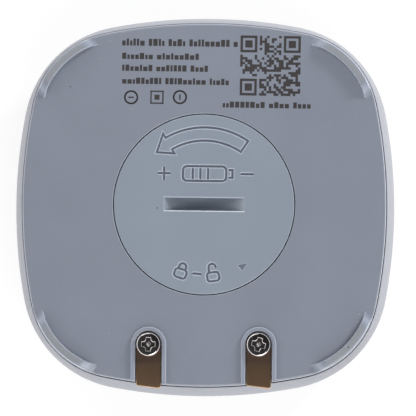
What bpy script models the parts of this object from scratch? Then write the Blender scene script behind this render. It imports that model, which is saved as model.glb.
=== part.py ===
# Water leak sensor: a small bowed-square puck that lies face down, with its back up (+Z).
# The back carries four arc feet, a coin-slot battery cover and two screwed probe strips.
# Origin: middle of the front face. X to the right, Y away from the probes, Z out of the back.

import bpy
import bmesh
from math import asin, atan2, cos, pi, radians, sin, sqrt
from mathutils import Matrix, Vector

mm = 0.001

# Clearances between pieces
seat_gap = 0.10 * mm          # between faces that rest on each other
side_gap = 0.20 * mm          # round a piece that drops into its place
turn_gap = 0.25 * mm          # round the battery cover, which turns
snap_gap = 0.30 * mm          # round the snap hooks and their catches
overcut = 2.0 * mm            # how far a cutter reaches past the faces that it cuts

# Plan outline of the back plate: a square with bowed sides and round corners
plate_half = 26.05 * mm
plate_side_radius = 72.4 * mm
plate_corner_radius = 13.1 * mm
outline_side_steps = 6
outline_corner_steps = 7

# Front cover (the white shell)
wall_bulge = 1.25 * mm        # how far the shell's belly stands out past its inner edge at the rim
belly_side_radius = 72.7 * mm
belly_corner_radius = 15.9 * mm
belly_height = 9.5 * mm       # height of the widest line above the front face
wall_draft = 0.15 * mm
front_fillet = 4.2 * mm
front_wall = 1.5 * mm
rim_drop = 0.5 * mm           # the shell's rim below the plate's face
rim_land = 0.12 * mm
shell_ledge = 1.05 * mm       # width of the ledge that the plate's edge rests on
inner_fillet = 2.6 * mm

# Coin cell and the stack of pieces above the front wall
cell_diameter = 24.5 * mm
cell_thickness = 5.0 * mm
component_room = 1.3 * mm     # between the front wall and the circuit board
board_thickness = 0.8 * mm
well_floor = 0.8 * mm
contact_room = 0.5 * mm
spring_room = 0.2 * mm
lug_thickness = 0.9 * mm
lug_play = 0.2 * mm
ledge_thickness = 0.8 * mm
seal_section = 0.7 * mm
cover_thickness = 1.6 * mm

# Battery well and battery cover, radii from the middle
cell_play = 0.35 * mm         # between the cell and the wall of the well
ledge_play = 0.20 * mm        # between the cell and the ledge that it passes
ledge_width = 0.50 * mm       # how far the cover's disc reaches out over the ledge
cover_chamfer = 0.18 * mm
spigot_wall = 0.95 * mm
spigot_gap = 0.40 * mm        # between the spigot and the ledge
lug_depth = 0.95 * mm         # how far a lug stands out of the spigot
well_wall = 0.9 * mm
bayonet_count = 3
lug_angle = radians(22.0)
notch_angle = radians(30.0)
open_turn = radians(40.0)     # the turn from locked to the notches
first_lug = radians(70.0)

# Coin slot in the battery cover
slot_length = 11.8 * mm
slot_width = 1.75 * mm
coin_radius = 9.8 * mm
slot_wall = 1.0 * mm
slot_lean = radians(-0.6)     # the cover sits turned by this much

# Back cover plate, skirt and feet
plate_thickness = 1.6 * mm
plate_edge_round = 0.35 * mm
skirt_thickness = 1.4 * mm
skirt_drop = 2.9 * mm
groove_width = 0.9 * mm
groove_depth = 0.6 * mm
groove_drop = 0.6 * mm
feet_height = 0.8 * mm
foot_width = 1.15 * mm        # flat top and its rounded edges
foot_inset = 0.12 * mm        # outer wall of a foot, in from the plate's edge
foot_slope = 0.12 * mm        # draft of the inner wall
foot_round = 0.20 * mm        # rounded long edges of the top
foot_half_length = 4.5 * mm   # from the middle of the corner, along the edge, to the end of the top
foot_ramp = 2.1 * mm
foot_top_steps = 8
foot_ramp_steps = 4
foot_sink = 0.05 * mm         # how far the end of a ramp dips under the plate's face

# Probe strips, their screws, inserts and springs
probe_spacing = 15.7 * mm
probe_inset = 6.0 * mm        # screw centre in from the plate's edge
strip_width = 3.5 * mm
strip_thickness = 0.40 * mm
strip_overhang = 0.10 * mm    # past the plate's edge, at the middle of the strip
strip_slant = radians(6.0)
strip_corner = 0.38 * mm
strip_bend_start = 2.7 * mm   # below the screw centre
strip_rise = 0.20 * mm        # how far the bend lifts the free end
pocket_depth = 0.45 * mm
pocket_side = 0.17 * mm       # between the strip and the rib round it
rib_width = 0.62 * mm
rib_height = 0.35 * mm
rib_round = 0.16 * mm
probe_thread_radius = 1.0 * mm
probe_head_radius = 1.70 * mm
probe_screw_length = 3.7 * mm
head_rim = 0.15               # rounded rim of a screw's head as a share of the head's radius
insert_wall = 0.5 * mm
insert_length = 2.8 * mm
insert_neck = 0.2 * mm        # depth of the groove round an insert's middle
insert_boss_wall = 0.8 * mm
spring_radius = 1.1 * mm
spring_wire = 0.18 * mm
spring_turns = 4

# Circuit board, its screws and the bosses that they go into
board_edge_gap = 0.75 * mm    # between the board and the skirt's outer face line
boss_inset = 9.3 * mm         # boss centre in from the plate's edge, along X and Y
boss_radius = 2.1 * mm
board_thread_radius = 0.8 * mm
board_head_radius = 1.5 * mm
board_head_height = 0.8 * mm
board_screw_length = 5.5 * mm

# Snap hooks of the back cover and catches of the front cover
hook_width = 5.0 * mm
hook_thickness = 1.0 * mm
hook_reach = 2.1 * mm         # below the skirt
hook_nose = 0.75 * mm
hook_inset = 0.8 * mm         # outer face of the hook's arm, in from the skirt's outer face
catch_height = 0.5 * mm

# Front window for the indicator lamp
light_pipe_radius = 1.0 * mm
light_pipe_inset = 9.0 * mm   # from the plate's edge on the +Y side
light_pipe_flange = 0.45 * mm

# Electronic pieces
module_length = 12.0 * mm
module_height = 2.2 * mm
module_gap = 1.3 * mm         # between the radio module and the well, and the board's edge
chip_side = 6.0 * mm
chip_height = 0.8 * mm
chip_shift = 2.0 * mm         # from the board's middle towards the probes
crystal_length = 3.2 * mm
crystal_width = 1.5 * mm
crystal_height = 0.7 * mm
crystal_gap = 2.4 * mm        # between the chip and the crystal
lamp_length = 1.6 * mm
lamp_width = 1.2 * mm
lamp_height = 0.5 * mm
part_edge = 0.10 * mm         # bevel of the small parts' edges
can_edge = 0.25 * mm          # bevel of the radio module's can
capacitor_radius = 2.6 * mm
capacitor_height = 4.6 * mm
crimp_height = 0.7 * mm       # middle of the groove round the capacitor's can
sounder_gap = 1.0 * mm        # between the sounder and the well, and the board's edge
sounder_height = 1.9 * mm
sounder_hole = 0.7 * mm
sounder_recess = 0.3 * mm
aerial_radius = 1.7 * mm
aerial_wire = 0.25 * mm
aerial_turns = 6
aerial_pitch = 1.5 * mm
aerial_lead = 1.2 * mm
aerial_shift = 0.4 * mm       # towards the board's edge
contact_thickness = 0.25 * mm
contact_width = 3.6 * mm
tail_inset = 3.0 * mm         # negative contact's tail, in from the cell's edge
contact_flat = 3.5 * mm       # negative contact: flat on the floor, rise, flat under the cell, end
contact_rise = 3.5 * mm
contact_touch = 2.0 * mm
contact_end = 2.5 * mm
side_contact_drop = 1.6 * mm  # top of the side contact below the cell's top
side_contact_bow = 0.30 * mm  # how far its free leg springs back from the cell
side_contact_step = 1.1 * mm

# Heights worked out from the stack, from the front face up
board_bottom = front_wall + component_room
board_top = board_bottom + board_thickness
well_bottom = board_top + seat_gap
floor_top = well_bottom + well_floor
cell_bottom = floor_top + contact_room
cell_top = cell_bottom + cell_thickness
lug_bottom = cell_top + spring_room
lug_top = lug_bottom + lug_thickness
ledge_bottom = lug_top + lug_play
ledge_top = ledge_bottom + ledge_thickness
disc_bottom = ledge_top + seal_section + 2 * seat_gap
plate_top = disc_bottom + cover_thickness
feet_top = plate_top + feet_height
plate_bottom = plate_top - plate_thickness
rim_height = plate_top - rim_drop
skirt_bottom = plate_bottom - skirt_drop

# Radii worked out from the cell and the cover
cell_radius = cell_diameter / 2
bore_radius = cell_radius + cell_play
ledge_radius = cell_radius + ledge_play
spigot_radius = ledge_radius - spigot_gap
lug_radius = spigot_radius + lug_depth
undercut_radius = lug_radius + turn_gap
cover_radius = ledge_radius + ledge_width
counterbore_radius = cover_radius + turn_gap
well_radius = undercut_radius + well_wall

# Places worked out from the outline
probe_y = -(plate_half - probe_inset)
boss_place = plate_half - boss_inset
wall_offset = shell_ledge - side_gap
skirt_offset = wall_offset + snap_gap
board_offset = skirt_offset + board_edge_gap
board_edge = plate_half - board_offset
board_lane = board_edge - well_radius            # room for parts beside the well
lane_middle = (board_edge + well_radius) / 2
insert_low = plate_top - pocket_depth - seat_gap - well_floor - insert_length
strip_middle = plate_top - pocket_depth + seat_gap + strip_thickness / 2
negative_tail = cell_radius - tail_inset


def clear_scene():
    for item in list(bpy.data.objects):
        bpy.data.objects.remove(item, do_unlink=True)
    for group in list(bpy.data.collections):
        bpy.data.collections.remove(group)


def make_collection(name):
    group = bpy.data.collections.new(name)
    bpy.context.scene.collection.children.link(group)
    return group


def make_material(name, colour, roughness, metallic=0.0):
    material = bpy.data.materials.new(name)
    material.use_nodes = True
    shader = material.node_tree.nodes["Principled BSDF"]
    shader.inputs["Base Color"].default_value = (*colour, 1.0)
    shader.inputs["Roughness"].default_value = roughness
    shader.inputs["Metallic"].default_value = metallic
    return material


def to_object(bm, name):
    """Turns a bmesh into an object of the parts collection, smooth with sharp corners."""
    bmesh.ops.recalc_face_normals(bm, faces=bm.faces[:])
    mesh = bpy.data.meshes.new(name)
    bm.to_mesh(mesh)
    bm.free()
    mesh.shade_smooth()
    mesh.set_sharp_from_angle(angle=radians(35))
    item = bpy.data.objects.new(name, mesh)
    parts.objects.link(item)
    return item


def finish(item, material):
    item.data.materials.append(material)
    return item


def cut(target, tool, operation="DIFFERENCE"):
    """Adds a Boolean to the target and puts its tool away among the cutters."""
    modifier = target.modifiers.new(tool.name, "BOOLEAN")
    modifier.operation = operation
    modifier.solver = "EXACT"
    modifier.object = tool
    tool.hide_render = True
    tool.display_type = "WIRE"
    if tool.name in parts.objects:
        parts.objects.unlink(tool)
        cutters.objects.link(tool)
    return target


def join(target, tool):
    return cut(target, tool, "UNION")


def outline(half, side_radius, corner_radius):
    """A square with bowed sides and round corners, counter-clockwise, as a list of (x, y)."""
    side_centre = half - side_radius
    spread = (side_radius - corner_radius) ** 2
    corner_centre = (2 * side_centre
                     + sqrt(4 * side_centre ** 2 - 8 * (side_centre ** 2 - spread))) / 4
    join_angle = atan2(corner_centre, corner_centre - side_centre)
    points = []
    for quarter in range(4):
        turn = Matrix.Rotation(quarter * pi / 2, 2)
        for step in range(outline_side_steps):
            angle = join_angle * (2 * step / outline_side_steps - 1)
            points.append(turn @ Vector((side_centre + side_radius * cos(angle),
                                         side_radius * sin(angle))))
        for step in range(outline_corner_steps):
            angle = join_angle + (pi / 2 - 2 * join_angle) * step / outline_corner_steps
            points.append(turn @ Vector((corner_centre + corner_radius * cos(angle),
                                         corner_centre + corner_radius * sin(angle))))
    return points


def plate_outline(inset):
    """The plate's outline moved in by inset, or out where inset is negative."""
    return outline(plate_half - inset, plate_side_radius - inset, plate_corner_radius - inset)


def belly_outline(share, inset=0.0):
    """The shell's outline: share 0 is the widest line, 1 the rim."""
    belly_half = plate_half + side_gap + wall_bulge
    rim_half = plate_half + side_gap + rim_land
    half = belly_half + (rim_half - belly_half) * share
    side = belly_side_radius + (plate_side_radius + side_gap + rim_land - belly_side_radius) * share
    corner = (belly_corner_radius
              + (plate_corner_radius + side_gap + rim_land - belly_corner_radius) * share)
    return outline(half - inset, side - inset, corner - inset)


def loft(name, rings):
    """A closed solid through rings of equal count; each ring is (points, height)."""
    bm = bmesh.new()
    levels = []
    for points, height in rings:
        levels.append([bm.verts.new((x, y, height)) for x, y in points])
    count = len(levels[0])
    for lower, upper in zip(levels, levels[1:]):
        for index in range(count):
            after = (index + 1) % count
            bm.faces.new((lower[index], lower[after], upper[after], upper[index]))
    bm.faces.new(levels[0])
    bm.faces.new(levels[-1])
    return to_object(bm, name)


def prism(name, points, low, high):
    """An outline in the XY plane, extruded from low to high."""
    return loft(name, [(points, low), (points, high)])


def turned(name, profile, steps=32, x=0.0, y=0.0):
    """A closed solid of revolution about Z from (radius, height) points, top to bottom."""
    mesh = bpy.data.meshes.new(name)
    bm = bmesh.new()
    verts = [bm.verts.new((radius, 0.0, height)) for radius, height in profile]
    for upper, lower in zip(verts, verts[1:]):
        bm.edges.new((upper, lower))
    bm.to_mesh(mesh)
    bm.free()
    item = bpy.data.objects.new(name, mesh)
    parts.objects.link(item)
    item.location = (x, y, 0.0)
    screw = item.modifiers.new("turn", "SCREW")
    screw.axis = "Z"
    screw.angle = 2 * pi
    screw.steps = steps
    screw.render_steps = steps
    screw.use_merge_vertices = True
    screw.merge_threshold = 1e-6
    screw.use_smooth_shade = True
    return item


def cylinder(name, radius, low, high, x=0.0, y=0.0, steps=20):
    bm = bmesh.new()
    place = Matrix.Translation((x, y, (low + high) / 2))
    bmesh.ops.create_cone(bm, cap_ends=True, segments=steps, radius1=radius, radius2=radius,
                          depth=high - low, matrix=place)
    return to_object(bm, name)


def block(name, size, centre, turn=0.0):
    bm = bmesh.new()
    scale = Matrix.Diagonal((*size, 1.0))
    bmesh.ops.create_cube(bm, size=1.0, matrix=scale)
    spin = Matrix.Translation(centre) @ Matrix.Rotation(turn, 4, "Z")
    bmesh.ops.transform(bm, matrix=spin, verts=bm.verts[:])
    return to_object(bm, name)


def soft_block(name, size, centre, radius, turn=0.0):
    """A block with its upright edges rounded by a Bevel."""
    item = block(name, size, centre, turn)
    bevel = item.modifiers.new("edges", "BEVEL")
    bevel.width = radius
    bevel.segments = 2
    bevel.limit_method = "ANGLE"
    bevel.angle_limit = radians(50)
    return item


def ring_sector(name, inner, outer, low, high, middle, spread, steps=5):
    """Part of a ring about Z, spread wide at the angle middle."""
    angles = [middle + spread * (step / steps - 0.5) for step in range(steps + 1)]
    points = [(outer * cos(a), outer * sin(a)) for a in angles]
    points += [(inner * cos(a), inner * sin(a)) for a in reversed(angles)]
    return prism(name, points, low, high)


def profile_bar(name, profile, width, turn):
    """A (distance, height) profile extruded across Y, facing +X, then turned about Z."""
    bm = bmesh.new()
    sides = []
    for y in (-width / 2, width / 2):
        sides.append([bm.verts.new((x, y, z)) for x, z in profile])
    count = len(profile)
    for index in range(count):
        after = (index + 1) % count
        bm.faces.new((sides[0][index], sides[0][after], sides[1][after], sides[1][index]))
    bm.faces.new(sides[0])
    bm.faces.new(sides[1])
    bmesh.ops.transform(bm, matrix=Matrix.Rotation(turn, 4, "Z"), verts=bm.verts[:])
    return to_object(bm, name)


def bent_strip(name, path, width, thickness, place=(0.0, 0.0), turn=0.0):
    """Sheet metal: a (distance, height) centre line as a ribbon across X, thickened by Solidify."""
    bm = bmesh.new()
    rows = []
    for x in (-width / 2, width / 2):
        rows.append([bm.verts.new((x, y, z)) for y, z in path])
    for index in range(len(path) - 1):
        bm.faces.new((rows[0][index], rows[1][index], rows[1][index + 1], rows[0][index + 1]))
    spin = Matrix.Translation((place[0], place[1], 0.0)) @ Matrix.Rotation(turn, 4, "Z")
    bmesh.ops.transform(bm, matrix=spin, verts=bm.verts[:])
    item = to_object(bm, name)
    solid = item.modifiers.new("sheet", "SOLIDIFY")
    solid.thickness = thickness
    solid.offset = 0.0
    solid.use_even_offset = True
    return item


def wire(name, points, radius):
    """A round wire along points, made a closed mesh."""
    curve = bpy.data.curves.new(name, "CURVE")
    curve.dimensions = "3D"
    curve.bevel_depth = radius
    curve.bevel_resolution = 1
    curve.use_fill_caps = True
    spline = curve.splines.new("POLY")
    spline.points.add(len(points) - 1)
    for point, place in zip(spline.points, points):
        point.co = (*place, 1.0)
    guide = bpy.data.objects.new(name + "_path", curve)
    parts.objects.link(guide)
    bpy.context.view_layer.update()
    mesh = bpy.data.meshes.new_from_object(guide.evaluated_get(bpy.context.evaluated_depsgraph_get()))
    bpy.data.objects.remove(guide, do_unlink=True)
    bm = bmesh.new()
    bm.from_mesh(mesh)
    bmesh.ops.remove_doubles(bm, verts=bm.verts[:], dist=1e-7)
    return to_object(bm, name)


def make_front_cover():
    """The white shell: one loft from the front face, over the belly and rim, and back inside."""
    rings = []
    steps = 5
    for step in range(steps + 1):
        angle = pi / 2 * step / steps
        inset = wall_draft + front_fillet * (1 - sin(angle))
        rings.append((belly_outline(0.0, inset), front_fillet * (1 - cos(angle))))
    rings.append((belly_outline(0.0), belly_height))
    rise = rim_height - belly_height
    bulge = wall_bulge - rim_land
    arc_radius = (rise ** 2 + bulge ** 2) / (2 * bulge)
    arc_angle = asin(rise / arc_radius)
    steps = 4
    for step in range(1, steps + 1):
        angle = arc_angle * step / steps
        share = arc_radius * (1 - cos(angle)) / bulge
        rings.append((belly_outline(share), belly_height + arc_radius * sin(angle)))
    rings.append((plate_outline(-side_gap), rim_height))
    ledge = plate_bottom - side_gap
    rings.append((plate_outline(-side_gap), ledge))
    rings.append((plate_outline(wall_offset), ledge))
    steps = 3
    for step in range(steps + 1):
        angle = pi / 2 * step / steps
        inset = wall_offset + inner_fillet * (1 - cos(angle))
        rings.append((plate_outline(inset), front_wall + inner_fillet * (1 - sin(angle))))
    cover = loft("front_cover", rings)
    hook_face = plate_half - skirt_offset - hook_inset
    catch_top = skirt_bottom - snap_gap
    wall_face = plate_half - wall_offset
    inner = hook_face + snap_gap
    for side in range(4):
        profile = [(wall_face + 0.5 * mm, catch_top), (inner + 0.4 * mm, catch_top),
                   (inner, catch_top - 0.2 * mm), (inner, catch_top - catch_height),
                   (wall_face + 0.5 * mm, catch_top - catch_height)]
        join(cover, profile_bar("catch_%d" % side, profile, hook_width + 1.0 * mm, side * pi / 2))
    window = cylinder("window_hole", light_pipe_radius + side_gap / 2, -1.0 * mm,
                      front_wall + 0.5 * mm, y=plate_half - light_pipe_inset)
    cut(cover, window)
    return finish(cover, white_plastic)


def foot(name, quarter):
    """A raised arc that follows the plate's corner, with a sloped inner wall and ramped ends."""
    bm = bmesh.new()
    buried = 0.4 * mm
    rows = []
    half = plate_half - foot_inset
    side = plate_side_radius - foot_inset
    corner = plate_corner_radius - foot_inset
    side_centre = half - side
    spread = (side - corner) ** 2
    centre = (2 * side_centre + sqrt(4 * side_centre ** 2 - 8 * (side_centre ** 2 - spread))) / 4
    join_angle = atan2(centre, centre - side_centre)
    arc_half = corner * (pi / 4 - join_angle)
    places = [foot_half_length * (2 * step / foot_top_steps - 1) for step in range(foot_top_steps + 1)]
    for step in range(1, foot_ramp_steps + 1):
        end = foot_half_length + foot_ramp * step / foot_ramp_steps
        places = [-end] + places + [end]
    for place in places:
        length = abs(place)
        if length <= arc_half:
            angle = pi / 4 - length / corner
            origin = Vector((centre, centre))
            radius = corner
        else:
            angle = join_angle - (length - arc_half) / side
            origin = Vector((side_centre, 0.0))
            radius = side
        outward = Vector((cos(angle), sin(angle)))
        edge = origin + radius * outward
        if place > 0:
            outward = Vector((outward.y, outward.x))
            edge = Vector((edge.y, edge.x))
        share = max(0.0, length - foot_half_length) / foot_ramp
        fall = share * share * (3 - 2 * share)
        top = plate_top + feet_height * (1 - fall) - foot_sink * fall
        shoulder = top - foot_round * (1 - fall)
        base = foot_width + foot_slope
        section = [(0.0, plate_top - buried), (0.0, shoulder), (foot_round, top),
                   (foot_width - foot_round, top), (foot_width, shoulder),
                   (base, plate_top - foot_sink), (base, plate_top - buried)]
        rows.append([(*(edge - outward * inset), height) for inset, height in section])
    turn = Matrix.Rotation(quarter * pi / 2, 4, "Z")
    rings = [[bm.verts.new(turn @ Vector(point)) for point in row] for row in rows]
    count = len(rings[0])
    for lower, upper in zip(rings, rings[1:]):
        for index in range(count):
            after = (index + 1) % count
            bm.faces.new((lower[index], lower[after], upper[after], upper[index]))
    bm.faces.new(rings[0])
    bm.faces.new(rings[-1])
    return to_object(bm, name)


def stadium(half_width, centre_x, centre_y, end_y, steps=12):
    """A slot shape: round at the top about the centre, straight down to end_y."""
    points = [(centre_x + half_width * cos(pi * step / steps),
               centre_y + half_width * sin(pi * step / steps)) for step in range(steps + 1)]
    points.append((centre_x - half_width, end_y))
    points.append((centre_x + half_width, end_y))
    return points


def make_back_cover():
    """The grey moulding: plate, skirt, battery well, bosses, hooks, ribs and feet in one piece."""
    rings = []
    steps = 3
    for step in range(steps + 1):
        angle = pi / 2 * step / steps
        inset = plate_edge_round * (1 - sin(angle))
        rings.append((plate_outline(inset), plate_top - plate_edge_round * (1 - cos(angle))))
    rings.append((plate_outline(0.0), plate_bottom))
    rings.append((plate_outline(skirt_offset), plate_bottom))
    groove_top = plate_bottom - groove_drop
    rings.append((plate_outline(skirt_offset), groove_top))
    rings.append((plate_outline(skirt_offset + groove_depth), groove_top))
    rings.append((plate_outline(skirt_offset + groove_depth), groove_top - groove_width))
    rings.append((plate_outline(skirt_offset), groove_top - groove_width))
    rings.append((plate_outline(skirt_offset), skirt_bottom))
    rings.append((plate_outline(skirt_offset + skirt_thickness), skirt_bottom))
    rings.append((plate_outline(skirt_offset + skirt_thickness), plate_bottom))
    cover = loft("back_cover", rings)

    buried = 0.3 * mm
    for quarter in range(4):
        join(cover, foot("foot_%d" % quarter, quarter))
    join(cover, cylinder("well", well_radius, well_bottom, plate_bottom + buried, steps=40))
    for index, (x, y) in enumerate(boss_places()):
        boss = cylinder("boss_%d" % index, boss_radius, well_bottom, plate_bottom + buried, x, y)
        join(cover, boss)
    insert_radius = probe_thread_radius + side_gap + insert_wall
    for side in (-1, 1):
        boss = cylinder("insert_boss_%d" % side, insert_radius + insert_boss_wall, insert_low,
                        plate_bottom + buried, side * probe_spacing / 2, probe_y)
        join(cover, boss)
    arm = plate_half - skirt_offset - hook_inset
    low = skirt_bottom - hook_reach
    nose_top = skirt_bottom - 2 * snap_gap - catch_height
    for side in range(4):
        profile = [(arm - hook_thickness, skirt_bottom + 0.6 * mm), (arm, skirt_bottom + 0.6 * mm),
                   (arm, nose_top), (arm + hook_nose, nose_top),
                   (arm + hook_nose, nose_top - 0.3 * mm), (arm, low), (arm - hook_thickness, low)]
        join(cover, profile_bar("hook_%d" % side, profile, hook_width, side * pi / 2))
    limit = prism("rib_limit", plate_outline(plate_edge_round * 0.4), plate_top - overcut / 2,
                  plate_top + overcut)
    limit.hide_render = True
    for side in (-1, 1):
        x = side * probe_spacing / 2
        outer = strip_width / 2 + pocket_side + rib_width
        rib = prism("rib_%d" % side, stadium(outer, x, probe_y, -plate_half - overcut),
                    plate_top - buried, plate_top + rib_height)
        bevel = rib.modifiers.new("edges", "BEVEL")
        bevel.width = rib_round
        bevel.segments = 2
        bevel.limit_method = "ANGLE"
        bevel.angle_limit = radians(50)
        cut(rib, limit, "INTERSECT")
        join(cover, rib)

    cavity = [(0.0, plate_top + overcut), (counterbore_radius + cover_chamfer, plate_top + overcut),
              (counterbore_radius + cover_chamfer, plate_top),
              (counterbore_radius, plate_top - cover_chamfer), (counterbore_radius, ledge_top),
              (ledge_radius, ledge_top), (ledge_radius, ledge_bottom),
              (undercut_radius, ledge_bottom), (undercut_radius, lug_bottom - lug_play),
              (bore_radius, lug_bottom - lug_play), (bore_radius, floor_top), (0.0, floor_top)]
    cut(cover, turned("cavity", cavity, steps=40))
    for index in range(bayonet_count):
        middle = first_lug + open_turn + index * 2 * pi / bayonet_count
        notch = ring_sector("notch_%d" % index, ledge_radius - 0.3 * mm, undercut_radius + 0.02 * mm,
                            ledge_bottom - 0.1 * mm, ledge_top + 0.1 * mm, middle, notch_angle)
        cut(cover, notch)
    for index, (x, y) in enumerate(boss_places()):
        pilot = cylinder("pilot_%d" % index, board_thread_radius + side_gap, well_bottom - 0.5 * mm,
                         board_bottom + board_screw_length + 0.5 * mm, x, y, steps=16)
        cut(cover, pilot)
    for side in (-1, 1):
        x = side * probe_spacing / 2
        half = strip_width / 2 + pocket_side
        floor = plate_top - pocket_depth
        pocket = prism("pocket_%d" % side, stadium(half, x, probe_y, -plate_half - overcut),
                       floor, plate_top + overcut)
        cut(cover, pocket)
        cut(cover, cylinder("probe_hole_%d" % side, probe_thread_radius + side_gap,
                            insert_low - 0.5 * mm, plate_top, x, probe_y, steps=20))
        cut(cover, cylinder("insert_bore_%d" % side, insert_radius + seat_gap, insert_low - 0.5 * mm,
                            insert_low + insert_length + seat_gap, x, probe_y, steps=20))
    window = positive_window()
    cut(cover, block("contact_window", *window))
    tail = (contact_width + 2 * side_gap, contact_thickness + 4 * side_gap, 2 * well_floor)
    cut(cover, block("contact_tail_hole", tail, (0.0, negative_tail, floor_top - well_floor / 2)))
    return finish(cover, grey_plastic)


def boss_places():
    return [(x * boss_place, y * boss_place) for x in (-1, 1) for y in (-1, 1)]


def positive_window():
    """Size and centre of the opening in the well's wall that the side contact reaches through."""
    low = well_bottom - 0.5 * mm
    high = cell_top - 0.8 * mm
    depth = well_radius - bore_radius + 1.6 * mm
    middle = (well_radius + bore_radius) / 2
    size = (depth, contact_width + 4 * side_gap, high - low)
    return size, (middle, 0.0, (low + high) / 2)


def make_battery_cover():
    """The turning cover: disc, spigot and lugs, with the trough of the coin slot below the disc."""
    profile = [(0.0, plate_top), (cover_radius - cover_chamfer, plate_top),
               (cover_radius, plate_top - cover_chamfer), (cover_radius, disc_bottom),
               (spigot_radius, disc_bottom), (spigot_radius, lug_bottom),
               (spigot_radius - spigot_wall, lug_bottom), (spigot_radius - spigot_wall, disc_bottom),
               (0.0, disc_bottom)]
    cover = turned("battery_cover", profile, steps=40)
    for index in range(bayonet_count):
        middle = first_lug + index * 2 * pi / bayonet_count
        lug = ring_sector("lug_%d" % index, spigot_radius - spigot_wall / 2, lug_radius,
                          lug_bottom + 0.1 * mm, lug_top, middle, lug_angle)
        join(cover, lug)
    slot_depth = coin_radius - sqrt(coin_radius ** 2 - (slot_length / 2) ** 2)
    trough_bottom = plate_top - slot_depth - slot_wall
    trough_high = disc_bottom + cover_thickness / 2
    trough = (slot_length + 2 * slot_wall, slot_width + 2 * slot_wall, trough_high - trough_bottom)
    join(cover, block("trough", trough, (0.0, 0.0, (trough_bottom + trough_high) / 2), slot_lean))
    bm = bmesh.new()
    lay = (Matrix.Translation((0.0, 0.0, plate_top + coin_radius - slot_depth))
           @ Matrix.Rotation(slot_lean, 4, "Z") @ Matrix.Rotation(pi / 2, 4, "X"))
    bmesh.ops.create_cone(bm, cap_ends=True, segments=44, radius1=coin_radius, radius2=coin_radius,
                          depth=slot_width, matrix=lay)
    cut(cover, to_object(bm, "coin"))
    return finish(cover, light_grey_plastic)


def make_o_ring(name, ring_radius, section, height):
    bpy.ops.mesh.primitive_torus_add(major_radius=ring_radius, minor_radius=section / 2,
                                     major_segments=36, minor_segments=6,
                                     location=(0.0, 0.0, height))
    item = bpy.context.active_object
    item.name = name
    item.data.name = name
    for group in list(item.users_collection):
        group.objects.unlink(item)
    parts.objects.link(item)
    return finish(item, black_rubber)


def make_housing_seal():
    """The gasket in the skirt's groove: a round section swept along the outline."""
    radius = (skirt_offset + groove_depth - wall_offset) / 2 - seat_gap
    middle = plate_bottom - groove_drop - groove_width / 2
    offset = wall_offset + seat_gap + radius
    bm = bmesh.new()
    steps = 6
    rings = []
    for step in range(steps):
        angle = 2 * pi * step / steps
        points = plate_outline(offset + radius * cos(angle))
        rings.append([bm.verts.new((x, y, middle + radius * sin(angle))) for x, y in points])
    count = len(rings[0])
    for step in range(steps):
        ring, other = rings[step], rings[(step + 1) % steps]
        for index in range(count):
            after = (index + 1) % count
            bm.faces.new((ring[index], ring[after], other[after], other[index]))
    return finish(to_object(bm, "housing_seal"), black_rubber)


def make_coin_cell():
    can = cell_radius
    profile = [(0.0, cell_top), (can - 0.25 * mm, cell_top), (can, cell_top - 0.25 * mm),
               (can, cell_bottom + 0.75 * mm), (can - 0.35 * mm, cell_bottom + 0.45 * mm),
               (can - 0.85 * mm, cell_bottom + 0.45 * mm), (can - 1.15 * mm, cell_bottom),
               (0.0, cell_bottom)]
    return finish(turned("coin_cell", profile), steel)


def make_contacts():
    """Spring contacts of the cell: one under it, one that presses on its side."""
    middle = floor_top + seat_gap + contact_thickness / 2
    foot_z = board_top + seat_gap + contact_thickness / 2
    touch = cell_bottom - seat_gap - contact_thickness / 2
    rise_start = negative_tail - contact_flat
    rise_end = rise_start - contact_rise
    touch_end = rise_end - contact_touch
    path = [(negative_tail, foot_z), (negative_tail, middle), (rise_start, middle),
            (rise_end, touch), (touch_end, touch), (touch_end - contact_end, middle)]
    negative = bent_strip("negative_contact", path, contact_width, contact_thickness)
    finish(negative, nickel)
    reach = cell_radius + seat_gap + contact_thickness / 2
    back = well_radius - snap_gap
    high = cell_top - side_contact_drop
    bow = side_contact_bow
    step = side_contact_step
    path = [(back + well_wall, foot_z), (back, foot_z), (back, high), (back - bow, high + bow),
            (reach + bow, high), (reach, high - step), (reach + bow, high - 2 * step)]
    positive = bent_strip("positive_contact", path, contact_width, contact_thickness, turn=-pi / 2)
    finish(positive, nickel)


def screw(name, x, y, seat, length, thread_radius, head_radius, head_height, down, material):
    """A pan-head screw with a cross recess; down is -1 if its head is up, 1 if its head is below."""
    rim = head_rim * head_radius
    profile = [(0.0, head_height), (head_radius - rim, head_height),
               (head_radius - 0.3 * rim, head_height - 0.3 * rim),
               (head_radius, head_height - rim), (head_radius, 0.0),
               (thread_radius, 0.0), (thread_radius, 0.35 * thread_radius - length),
               (thread_radius * 0.6, -length), (0.0, -length)]
    item = turned(name, profile, steps=16, x=x, y=y)
    item.location.z = seat
    if down > 0:
        item.rotation_euler.x = pi
    depth = head_height * 0.6
    for index in range(2):
        arm = (head_radius * 1.2, head_radius * 0.30, 2 * depth)
        tool = block("%s_recess_%d" % (name, index), arm, (0.0, 0.0, head_height), index * pi / 2 + 0.1)
        tool.location = item.location
        tool.rotation_euler = item.rotation_euler
        cut(item, tool)
    return finish(item, material)


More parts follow.
